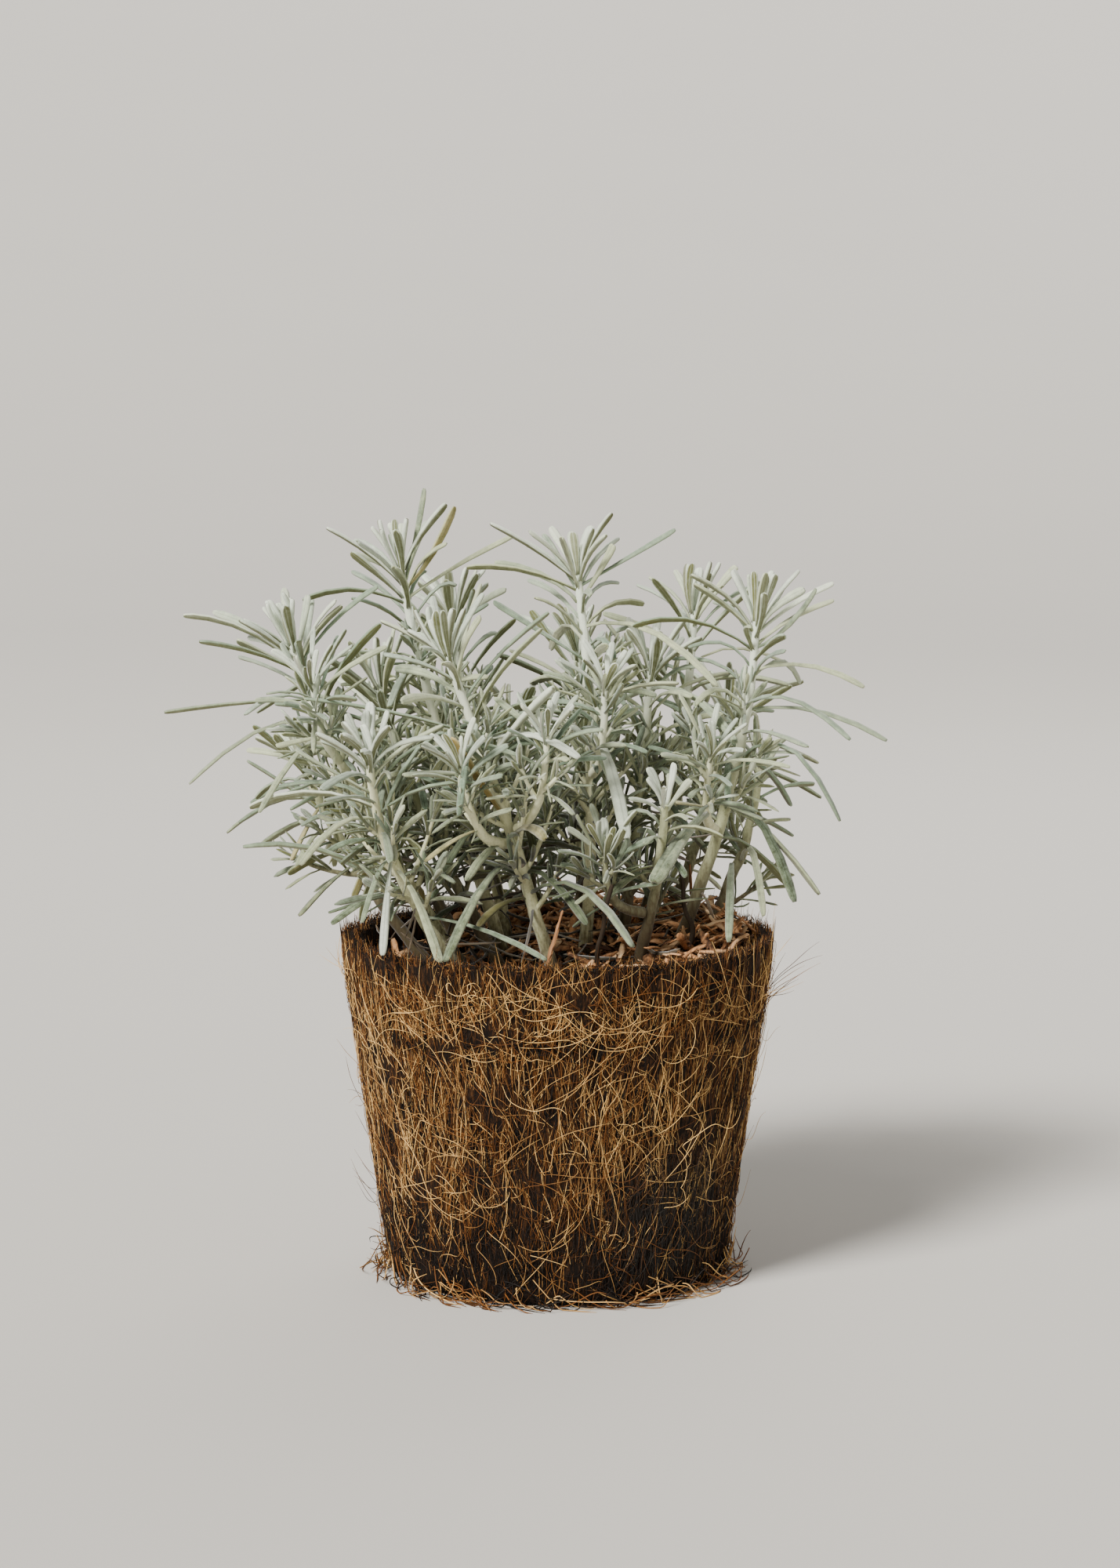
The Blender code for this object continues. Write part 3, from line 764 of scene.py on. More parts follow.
def tube_faces(rings: int, sides: int) -> list[tuple[int, ...]]:
    """The faces of a capped tube of equal rings, whose points run ring by ring.

    Args:
        rings: how many rings it has.
        sides: how many points are in a ring.

    Returns:
        The faces, which point outwards where the points run anticlockwise seen from the far end.
    """
    faces = []
    for ring in range(rings - 1):
        for side in range(sides):
            a, b = ring * sides + side, ring * sides + (side + 1) % sides
            faces.append((a, b, b + sides, a + sides))
    faces.append(tuple(reversed(range(sides))))
    faces.append(tuple((rings - 1) * sides + side for side in range(sides)))
    return faces


def node_points(node: str) -> np.ndarray:
    """The places of a CAD node's vertices."""
    return np.array([tuple(vertex.co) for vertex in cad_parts[node].data.vertices])


def main_axis(points: np.ndarray) -> np.ndarray:
    """The direction that points are strung along, as a unit vector that points upwards."""
    axis = np.linalg.svd(points - points.mean(0))[2][0]
    return axis if axis[2] > 0 else -axis


def mesh_from(name: str, points: Sequence, faces: Sequence) -> bpy.types.Mesh:
    """A mesh of these points and faces.

    Args:
        name: its name.
        points: the places of its vertices.
        faces: the vertices of each face.

    Returns:
        The mesh.
    """
    mesh = bpy.data.meshes.new(name)
    mesh.from_pydata([tuple(point) for point in points], [], [tuple(face) for face in faces])
    return mesh


def curve_from(name: str, lines: Sequence["Line"]) -> bpy.types.Object:
    """A curve object of one straight-pointed spline for each line.

    Args:
        name: its name.
        lines: the lines.

    Returns:
        The object.
    """
    curve = bpy.data.curves.new(name, "CURVE")
    curve.dimensions = "3D"
    for line in lines:
        spline = curve.splines.new("POLY")
        spline.points.add(len(line.points) - 1)
        places = np.hstack([line.points, np.ones((len(line.points), 1))])
        spline.points.foreach_set("co", places.ravel())
        spline.points.foreach_set("radius", line.radii)
    return placed(name, curve)


def add_numbers(mesh: bpy.types.Mesh, name: str, values: Sequence[float]) -> None:
    """Keep a number on each point of a mesh."""
    mesh.attributes.new(name, "FLOAT", "POINT").data.foreach_set("value", list(values))


def add_vectors(mesh: bpy.types.Mesh, name: str, values: Sequence[Sequence[float]]) -> None:
    """Keep a vector on each point of a mesh."""
    flat = np.array(values, float).reshape(-1)
    mesh.attributes.new(name, "FLOAT_VECTOR", "POINT").data.foreach_set("vector", flat)


def unit(vector: np.ndarray) -> np.ndarray:
    """The vector at length one."""
    return vector / np.linalg.norm(vector)


# ---------------------------------------------------------------- stems


@dataclass
class Line:
    """A smooth path with a radius along it."""

    points: np.ndarray
    radii: np.ndarray

    def at(self, share: float) -> np.ndarray:
        """The point at a share of the line's length.

        Args:
            share: from 0 at the start to 1 at the end.

        Returns:
            The point.
        """
        place = share * (len(self.points) - 1)
        below = min(int(place), len(self.points) - 2)
        return self.points[below] + (place - below) * (self.points[below + 1] - self.points[below])

    def radius(self, share: float) -> float:
        """The radius at a share of the line's length."""
        return float(np.interp(share * (len(self.radii) - 1), range(len(self.radii)), self.radii))

    def ahead(self, share: float) -> np.ndarray:
        """The direction of growth at a share of the line's length."""
        return unit(self.at(min(1.0, share + 0.02)) - self.at(max(0.0, share - 0.02)))


@dataclass
class StemPath:
    """A stem's middle line, fitted through the vertices of its CAD node."""

    node: str
    bends: int = 3
    samples: int = 48
    sway: float = 0.9 * MM
    waves_to_a_metre: float = 100
    swelling: float = 0.07
    swellings_to_a_metre: float = 420
    rooting: float = 1.8 * MM

    def line(self) -> Line:
        """The stem's middle line, with the slight sway of a grown stem.

        Returns:
            The line, from just inside what it grows from up to the tip.
        """
        found = np.unique(np.round(node_points(self.node), 6), axis=0)
        climb = found @ main_axis(found)
        climb = (climb - climb.min()) / (climb.max() - climb.min())
        shares = np.linspace(0, 1, self.samples)
        fits = [np.polyfit(climb, found[:, k], self.bends) for k in range(3)]
        gaps = found - np.stack([np.polyval(fit, climb) for fit in fits], axis=1)
        radii = np.polyval(np.polyfit(climb, np.linalg.norm(gaps, axis=1), 1), shares)
        points = np.stack([np.polyval(fit, shares) for fit in fits], axis=1)
        for point, share in zip(points, shares):
            hold = math.sin(math.pi * share)
            point += self.sway * hold * np.array(noise.noise_vector(Vector(point) * self.waves_to_a_metre))
        points[0] -= self.rooting * unit(points[1] - points[0])
        swell = [noise.noise(Vector(point) * self.swellings_to_a_metre) for point in points]
        return Line(points, radii * (1 + self.swelling * np.array(swell)))


class TubeRecipe(Recipe):
    """Round tubes along the splines of a curve, with the knobs of old leaf bases."""

    def __init__(self) -> None:
        """Build the tree."""
        super().__init__("stem_tubes", {
            "Sides": ("Int", 12), "Knob height": ("Float", 0.2 * MM), "Knobs to a metre": ("Float", 300.0),
            "Seed": ("Int", 0), "Material": ("Material", None),
        })
        radius = self.wire("GeometryNodeInputRadius")
        sockets = {"Curve": self.given("Geometry"), "Radius": radius}
        tube = self.tube(self.wire("GeometryNodeSetCurveRadius", None, sockets), radius)
        place = self.wire("GeometryNodeInputPosition")
        normal = self.wire("GeometryNodeInputNormal")
        lumps = self.noise(place * (1.0, 1.0, 0.5), 1.0, 2, 0.5)
        self.connect(lumps.socket.node.inputs["Scale"], self.given("Knobs to a metre"))
        push = normal * ((lumps - 0.5) * 2.0 * self.given("Knob height"))
        self.close(self.wire("GeometryNodeSetPosition", None, {"Geometry": tube, "Offset": push}))


# ---------------------------------------------------------------- leaves


class Season(Enum):
    """How old a long leaf is, as the age kept on it; one age, with little felt, paints shade on leaves in
    shadow.
    """

    YOUNG = 0.1
    GROWN = 0.45
    OLD = 0.8
    # Painted shade: an age with little felt, which darkens leaves that hang in shadow.
    BARE = 0.84
    FADED = 1.05


@dataclass(frozen=True)
class LeafShape:
    """A leaf's outline and section, one metre long and two wide, to be sized as it grows."""

    name: str
    stations: tuple[tuple[float, float], ...]
    section: tuple[Triple, ...]

    def template(self) -> bpy.types.Object:
        """A closed blade along +Y, its upper side to +Z, with its places across and under kept on it.

        Returns:
            The blade, to be copied and then discarded.
        """
        points = [
            (side * width, place, depth * (0.35 + 0.65 * width))
            for place, width in self.stations for side, depth, _ in self.section]
        rings = tube_faces(len(self.stations), len(self.section))
        faces = [(face[0], *reversed(face[1:])) for face in rings]
        mesh = mesh_from(self.name, points, faces)
        across, _, under = zip(*self.section)
        add_numbers(mesh, "across", across * len(self.stations))
        add_numbers(mesh, "under", under * len(self.stations))
        return placed(self.name, mesh)


FULL_LEAF = LeafShape(
    "full_leaf",
    ((0.0, 0.5), (0.12, 0.42), (0.34, 0.6), (0.56, 0.84), (0.78, 1.0), (0.92, 0.96), (0.98, 0.72),
     (1.0, 0.4)),
    ((-1.0, -0.28, 0.5), (-0.55, 0.24, 0.0), (0.0, 0.05, 0.0), (0.55, 0.24, 0.0), (1.0, -0.28, 0.5),
     (0.66, -0.72, 1.0), (0.0, -0.34, 1.0), (-0.66, -0.72, 1.0)),
)
SMALL_LEAF = LeafShape(
    "small_leaf",
    ((0.0, 0.6), (0.3, 0.72), (0.65, 1.0), (0.9, 0.8), (1.0, 0.2)),
    ((-1.0, -0.2, 0.5), (0.0, 0.2, 0.0), (1.0, -0.2, 0.5), (0.0, -0.6, 1.0)),
)


class LeafRecipe(Recipe):
    """Leaves in a golden-angle spiral up each line, crowded into a rosette at its tip."""

    INPUTS = {
        "Lines": ("Object", None), "Leaf": ("Object", None), "Seed": ("Int", 0),
        "Leaves to a line": ("Int", 30), "First": ("Float", 0.3), "Last": ("Float", 1.0),
        "Crowding": ("Float", 2.7), "Tip length": ("Float", 12 * MM), "Full length": ("Float", 30 * MM),
        "Full from": ("Float", 0.62), "Tip lift": ("Float", 0.06), "Low lift": ("Float", 1.22),
        "Lift power": ("Float", 0.8), "Droop": ("Float", 0.34), "Curl": ("Float", 0.32),
        "Half width": ("Float", 1.3 * MM), "Stem radius": ("Float", 1.1 * MM),
        "Least age": ("Float", 0.0), "Age span": ("Float", 0.8), "Material": ("Material", None),
    }

    def __init__(self) -> None:
        """Build the tree."""
        super().__init__("leafy_lines", self.INPUTS)
        rooted = self._seeds()
        both = self.wire("GeometryNodeJoinGeometry", None, {0: [rooted, self.given("Geometry")]})
        self.close(self._blades(both))

    def _seeds(self) -> Wire:
        """Points up the lines, each knowing the root, aim, bend and side of its leaf.

        Returns:
            The points.
        """
        given, cross = self.given, "CROSS_PRODUCT"
        lines = self.object_shape("Lines")
        settings = {"component": "CURVE"}
        splines = self.wire("GeometryNodeAttributeDomainSize", settings, {0: lines}, "Spline Count")
        count = given("Leaves to a line")
        points = self.wire("GeometryNodePoints", None, {"Count": count * splines, "Radius": 0.0})
        index = self.wire("GeometryNodeInputIndex")
        line = self.math("FLOOR", (index + 0.5) / count)
        share = (index - line * count + self.chance(0.2, 0.8, 1)) / count
        down = 1.0 - share
        factor = given("Last") - (given("Last") - given("First")) * down ** given("Crowding")
        settings = {"mode": "FACTOR", "use_all_curves": False}
        sockets = {"Curves": lines, "Factor": factor, "Curve Index": line}
        sampled = self.node("GeometryNodeSampleCurve", settings, sockets)
        at, ahead = Wire(self, sampled.outputs["Position"]), Wire(self, sampled.outputs["Tangent"])
        turn = index * GOLDEN_ANGLE + self.chance(-0.3, 0.3, 2)
        east = self.vector_math("NORMALIZE", self.vector_math(cross, ahead, (0.78, -0.6, 0.16)))
        north = self.vector_math(cross, ahead, east)
        out = east * self.math("COSINE", turn) + north * self.math("SINE", turn)
        lift = self.range("Tip lift", "Low lift", down ** given("Lift power")) + self.chance(-0.13, 0.13, 3)
        heading = ahead * self.math("COSINE", lift) + out * self.math("SINE", lift)
        growth = self.math("MINIMUM", down / given("Full from"), 1.0)
        size = self.range("Tip length", "Full length", growth)
        size = size * self.spread(down, 0.55, 0.95, (1.0, 0.62))
        length = size * self.chance(0.8, 1.14, 4)
        sag = given("Droop") * growth * (0.35 + down) * self.chance(0.1, 1.3, 5)
        curl = given("Curl") * self.chance(-0.7, 1.6, 6)
        swing = self.vector_math(cross, out, ahead)
        root = at + out * given("Stem radius") * 0.7
        aim = heading * length
        bend = ((0.0, 0.0, -1.0) * sag + out * curl + swing * self.chance(-0.2, 0.2, 7)) * length
        x, y, z = self.parts(root + aim + bend)
        floor = self._ground(x, y) + self.chance(1 * MM, 9 * MM, 13)
        bend = bend + self.vector(0.0, 0.0, self.math("MAXIMUM", floor - z, 0.0))
        return self.store(points, {
            "root": root,
            "aim": aim,
            "bend": bend,
            "side": swing,
            "half_width": given("Half width") * (1.1 - growth * 0.14) * self.chance(0.82, 1.2, 8),
            "roll": self.chance(-0.7, 0.7, 9),
            "twist": self.chance(-0.8, 0.8, 10),
            "tone": self.chance(0.0, 1.0, 11),
            "age": given("Least age") + given("Age span") * down * self.chance(0.7, 1.2, 12),
        })

    def _blades(self, points: Wire) -> Wire:
        """A leaf on every point, bent along its own line and kept off the pot and the bark.

        Args:
            points: the points, with each leaf's facts.

        Returns:
            The leaves.
        """
        root, aim, bend = (self.kept(name, True) for name in ("root", "aim", "bend"))
        real = self.copies(self.moved(points, root), self.object_shape("Leaf"))
        across, along, depth = self.parts(self.wire("GeometryNodeInputPosition") - root)
        ahead = self.vector_math("NORMALIZE", aim + bend * (along * 2.0))
        angle = self.kept("roll") + self.kept("twist") * along
        sockets = {"Vector": self.kept("side", True), "Axis": ahead, "Angle": angle}
        side = self.wire("ShaderNodeVectorRotate", {"rotation_type": "AXIS_ANGLE"}, sockets)
        upward = self.vector_math("CROSS_PRODUCT", side, ahead)
        half = self.kept("half_width")
        place = root + aim * along + bend * (along * along) + side * (across * half) + upward * (depth * half)
        x, y, z = self.parts(place)
        z = self.math("SMOOTH_MAX", z, self._ground(x, y) - 0.5 * MM, 2 * MM)
        return self.moved(real, self.vector(x, y, z))

    def _ground(self, x: Wire, y: Wire) -> Wire:
        """The height that leaves stay above at a place: the bark's, then the rim's."""
        reach = self.math("SQRT", x * x + y * y)
        return self.spread(reach, 50 * MM, 60 * MM, (96 * MM, 102.5 * MM))


@dataclass
class LongLeaf:
    """A listed leaf: where on its stem it grows, and where its tip hangs, in millimetres."""

    share: float
    tip: Triple
    arch: float = 0.14
    width: float = 1.15
    season: Season = Season.GROWN
    roll: float = 0.6


@dataclass
class Habit:
    """How one shoot grows: its leaves and the short sprigs in their axils."""

    leaves: int = 34
    length: float = 33
    tip_length: float = 12
    first: float = 0.27
    width: float = 1.3
    droop: float = 0.8
    sprigs: int = 9
    sprig_leaves: int = 11
    sprig_length: float = 15
    sprig_from: float = 0.28
    dead_leaves: int = 9
    skin: StemFelt = STEM
    long_leaves: list[LongLeaf] = field(default_factory=list)


@dataclass
class ShootBuilder:
    """One shoot of the plant: a felted stem with its sprigs, and all of their leaves."""

    name: str
    seed: int
    habit: Habit
    sprig_to: float = 0.76
    sprig_bends: int = 8

    def sprigs(self, stem: Line) -> list[Line]:
        """The lines of the short sprigs that stand in the leaf axils.

        Args:
            stem: the shoot's stem.

        Returns:
            A line for each sprig.
        """
        rng = np.random.default_rng(self.seed)
        habit, found = self.habit, []
        for number in range(habit.sprigs):
            spread = (number + rng.uniform(0.2, 0.8)) / habit.sprigs
            share = habit.sprig_from + (self.sprig_to - habit.sprig_from) * spread
            ahead = stem.ahead(share)
            east = unit(np.cross(ahead, (0.3, 1.0, 0.2)))
            turn = number * GOLDEN_ANGLE + self.seed
            out = east * math.cos(turn) + np.cross(ahead, east) * math.sin(turn)
            length = habit.sprig_length * MM * rng.uniform(0.45, 1.25) * (1.25 - 0.6 * spread)
            start = stem.at(share) + out * stem.radius(share) * 0.6
            lean = unit(out * rng.uniform(0.9, 1.4) + ahead)
            steps = np.linspace(0, 1, self.sprig_bends)[:, None]
            climb = UP * rng.uniform(0.15, 0.45)
            points = start + length * (lean * steps + climb * steps**2)
            found.append(Line(points, np.linspace(0.85, 0.5, self.sprig_bends) * MM))
        return found

    def long_seeds(self, stem: Line) -> bpy.types.Mesh:
        """A point for each listed leaf, with the facts that the leaf recipe reads.

        Args:
            stem: the shoot's stem.

        Returns:
            A mesh of points alone.
        """
        rows = []
        for number, leaf in enumerate(self.habit.long_leaves):
            root = stem.at(leaf.share)
            reach = np.array(leaf.tip) * MM - root
            rise = UP * leaf.arch * np.linalg.norm(reach)
            rows.append({
                "root": root + unit(reach) * stem.radius(leaf.share) * 0.7,
                "aim": reach + 4 * rise,
                "bend": -4 * rise,
                "side": unit(np.cross(reach, (0.02, 0.05, 1.0))),
                "half_width": leaf.width * MM,
                "roll": leaf.roll,
                "twist": 0.5 * math.sin(2.3 * number),
                "tone": 0.5 + 0.4 * math.sin(1.9 * number),
                "age": leaf.season.value,
            })
        mesh = mesh_from(f"{self.name}_long", [(0, 0, 0)] * len(rows), [])
        for name in rows[0] if rows else ():
            values = [row[name] for row in rows]
            add = add_vectors if np.ndim(values) > 1 else add_numbers
            add(mesh, name, values)
        return mesh

    def build(
        self, tubes: TubeRecipe, blades: LeafRecipe, full: bpy.types.Object, small: bpy.types.Object
    ) -> None:
        """Make the shoot's pieces in place of its CAD stem and leaves.

        Args:
            tubes: makes the stems.
            blades: makes the leaves.
            full: the leaf of the main stem.
            small: the leaf of the sprigs, and a dead leaf.
        """
        habit, name = self.habit, self.name
        stem = StemPath(f"stem_{name}").line()
        sprigs = self.sprigs(stem)
        main, side = curve_from(f"{name}_line", [stem]), curve_from(f"{name}_sprigs", sprigs)
        joined = curve_from(f"{name}_all", [stem, *sprigs])
        values = {"Seed": self.seed, "Material": habit.skin.material()}
        own(tubes.make(f"felted_stem_{name}", joined.data, values), habit.skin, f"stem_{name}")
        values = {
            "Lines": main, "Leaf": full, "Seed": self.seed, "Leaves to a line": habit.leaves,
            "First": habit.first, "Tip length": habit.tip_length * MM, "Full length": habit.length * MM,
            "Half width": habit.width * MM, "Droop": habit.droop, "Material": LEAF.material(),
        }
        own(blades.make(f"foliage_{name}", self.long_seeds(stem), values), LEAF, f"leaves_{name}")
        values |= {
            "Lines": side, "Leaf": small, "Seed": self.seed + 500, "Leaves to a line": habit.sprig_leaves,
            "First": 0.05, "Crowding": 1.6, "Tip length": 7 * MM, "Full length": 14.5 * MM,
            "Full from": 0.8, "Tip lift": 0.12, "Low lift": 0.9, "Droop": 0.2,
            "Half width": 0.88 * MM, "Stem radius": 0.5 * MM, "Least age": 0.15, "Age span": 0.55,
        }
        own(blades.make(f"sprig_leaves_{name}", None, values), LEAF)
        if habit.dead_leaves:
            values |= {
                "Lines": main, "Seed": self.seed + 900, "Leaves to a line": habit.dead_leaves,
                "First": 0.12, "Last": 0.5, "Crowding": 1.0, "Tip length": 9 * MM, "Full length": 17 * MM,
                "Tip lift": 1.6, "Low lift": 2.3, "Droop": 0.5, "Curl": 0.8, "Half width": 0.75 * MM,
                "Stem radius": 1.8 * MM, "Material": DEAD_LEAF.material(),
            }
            own(blades.make(f"dead_leaves_{name}", None, values), DEAD_LEAF)
        discard(main, side, joined)


@dataclass
class Plant:
    """All the shoots, from the tallest to the smallest side shoot."""

    tall: Habit = field(default_factory=lambda: Habit(leaves=38, sprigs=14))
    short: Habit = field(default_factory=lambda: Habit(leaves=32, length=31, first=0.36, sprigs=10))
    sparse: Habit = field(default_factory=lambda: Habit(
        leaves=15, length=19, tip_length=10, first=0.6, width=1.1, sprigs=2, dead_leaves=4, skin=SHADED_STEM))
    side: Habit = field(default_factory=lambda: Habit(
        leaves=22, length=20, tip_length=10, first=0.3, width=1.0, droop=0.3, sprigs=3, sprig_leaves=8,
        sprig_length=7, dead_leaves=0))

    def habits(self) -> dict[str, Habit]:
        """Each shoot's habit, with its long leaves.

        Returns:
            The habits by the shoots' names, in the order in which they are seeded.
        """
        # The last of these four seasons darkens leaves that hang in shadow, as painted shade.
        faded, old, young, in_shade = Season.FADED, Season.OLD, Season.YOUNG, Season.BARE
        groups = {
            "left top_left front centre back_right right back_left back": self.tall,
            "low_left rear_right rear_left rear mid_left centre_left centre_right": self.short,
            "mid_right front_right": self.sparse,
            "side_front_left side_front_centre side_centre side_right side_left side_low_front": self.side,
        }
        found = {name: replace(habit) for names, habit in groups.items() for name in names.split()}
        changes = {
            "right back_right rear_right": {
                "leaves": 32, "first": 0.42, "sprigs": 7, "sprig_from": 0.42, "dead_leaves": 5,
                "skin": SHADED_STEM},
            "low_left": {"first": 0.48, "sprigs": 8, "sprig_from": 0.4, "dead_leaves": 5},
            "mid_left rear_left": {
                "leaves": 28, "length": 27, "first": 0.6, "sprigs": 5, "sprig_from": 0.52, "dead_leaves": 3},
            "mid_left rear_left rear back centre_right centre_left side_low_front": {"skin": SHADED_STEM},
        }
        for names, change in changes.items():
            for name in names.split():
                found[name] = replace(found[name], **change)
        found["left"].long_leaves = [
            LongLeaf(0.86, (-114, -22, 171), 0.02, 1.0, old),
            LongLeaf(0.95, (-108, -24, 199), 0.1, 1.1, young),
            LongLeaf(0.93, (-103, -28, 192), 0.05, 1.1, old, 1.0), LongLeaf(0.95, (-53, -20, 207), 0.08, 1.1),
            LongLeaf(0.96, (-65, -22, 203), 0.1, 1.1, young),
        ]
        found["top_left"].long_leaves = [
            LongLeaf(0.96, (-40, 8, 234), -0.08, 1.2, old, 1.2),
            LongLeaf(0.95, (-31, 4, 229), -0.1, 1.3, old, -1.0),
            LongLeaf(0.96, (-68, 4, 223), 0.06, 1.1, young), LongLeaf(0.92, (-75, 2, 202), 0.12, 1.2),
            LongLeaf(0.93, (-14, 15, 220), 0.03, 1.1),
        ]
        found["front"].long_leaves = [
            LongLeaf(0.45, (-32, -52, 102.5), 0.14, 1.9, old, 0.2),
            LongLeaf(0.55, (-30, -44, 165), 0.0, 1.7, faded, 0.3),
            LongLeaf(0.78, (-72, -34, 176), 0.03, 1.1),
            LongLeaf(0.76, (5.5, -46, 160.5), 0.14, 1.5, young, 0.3),
            LongLeaf(0.7, (-2, -46, 180), 0.04, 2.1, young, 0.2),
            LongLeaf(0.34, (21, -52, 107), 0.22, 1.7, roll=0.2),
            LongLeaf(0.5, (-4, -54, 138), 0.1, 1.6, faded),
        ]
        found["centre"].long_leaves = [
            LongLeaf(0.64, (20, -40, 137), 0.14, 2.1, young, 0.0), LongLeaf(0.96, (-26, -6, 212), 0.08, 1.1),
            LongLeaf(0.98, (-19, -8, 225), 0.04, 1.2, young), LongLeaf(0.97, (34, -6, 223), 0.0, 1.1),
            LongLeaf(0.88, (46, -22, 179), 0.16, 1.3),
        ]
        found["right"].long_leaves = [
            LongLeaf(0.78, (97, -6, 161), 0.1, 1.1), LongLeaf(0.88, (90, -8, 177), 0.12, 1.1),
            LongLeaf(0.66, (83, -12, 138), 0.34, 1.1), LongLeaf(0.52, (70, -11, 114), 0.3, 1.7, in_shade, 0.5),
            LongLeaf(0.97, (81, -4, 207), 0.06, 1.2, young),
            LongLeaf(0.93, (75, -16, 206), -0.1, 1.2, old, 1.2),
            LongLeaf(0.93, (23, -10, 195), 0.14, 1.1), LongLeaf(0.97, (41, -8, 207), 0.05, 1.2),
        ]
        found["centre_right"].long_leaves = [LongLeaf(0.95, (52, -20, 162), 0.14, 1.3)]
        found["low_left"].long_leaves = [
            LongLeaf(0.66, (-50, -52, 105), 0.08, 1.3, young, 0.2),
            LongLeaf(0.85, (-88, -38, 145), 0.12, 1.5, young),
            LongLeaf(0.5, (-90, -36, 133), 0.12, 1.5), LongLeaf(0.42, (-4, -58, 104), 0.05, 0.9),
            LongLeaf(0.62, (-33, -52, 100), 0.12, 1.6, roll=0.1),
        ]
        found["mid_left"].long_leaves = [
            LongLeaf(0.6, (-77, 0, 108), 0.05, 1.35, in_shade, 0.4),
            LongLeaf(0.85, (-80, 6, 124), 0.06, 1.4, in_shade, 0.4),
            LongLeaf(0.8, (-93, 14, 152), 0.03, 1.0, old), LongLeaf(0.95, (-91, 10, 163), 0.04, 1.1, old),
        ]
        found["side_right"].long_leaves = [LongLeaf(0.3, (28, -45, 125), 0.05, 3.0, old, 0.1)]
        found["mid_right"].long_leaves = [
            LongLeaf(0.55, (50, -32, 105), 0.2, 1.3, roll=0.2), LongLeaf(0.62, (60, -28, 112), 0.2, 1.4),
        ]
        return found

    def build(self) -> None:
        """Grow every shoot, and the dead twigs between them."""
        tubes, blades = TubeRecipe(), LeafRecipe()
        full, small = FULL_LEAF.template(), SMALL_LEAF.template()
        for seed, (name, habit) in enumerate(self.habits().items(), start=1):
            ShootBuilder(name, seed, habit).build(tubes, blades, full, small)
        for seed, name in enumerate(("dead_twig_front", "dead_twig_right", "dead_twig_left"), start=70):
            line = curve_from(f"{name}_line", [StemPath(name, sway=2.2 * MM).line()])
            values = {"Sides": 8, "Knob height": 0.35 * MM, "Seed": seed, "Material": TWIG_BARK.material()}
            own(tubes.make(f"bare_{name}", line.data, values), TWIG_BARK, name)
            discard(line)
        discard(full, small)


# ---------------------------------------------------------------- pot


@dataclass(frozen=True)
class PotShape:
    """The tapered pot, measured on its CAD node."""

    base_radius: float
    top_radius: float
    height: float
    wall: float = 5 * MM
    floor: float = 6 * MM

    @classmethod
    def from_frame(cls) -> "PotShape":
        """Measure the CAD pot.

        Returns:
            Its shape.
        """
        low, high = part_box("coir_pot")
        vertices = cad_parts["coir_pot"].data.vertices
        near_foot = [vertex.co.xy.length for vertex in vertices if 2 * MM < vertex.co.z < 5 * MM]
        return cls(max(near_foot), (high.x - low.x) / 2, high.z)

    def radius(self, z: float) -> float:
        """Outer radius at a height."""
        return self.base_radius + (self.top_radius - self.base_radius) * z / self.height


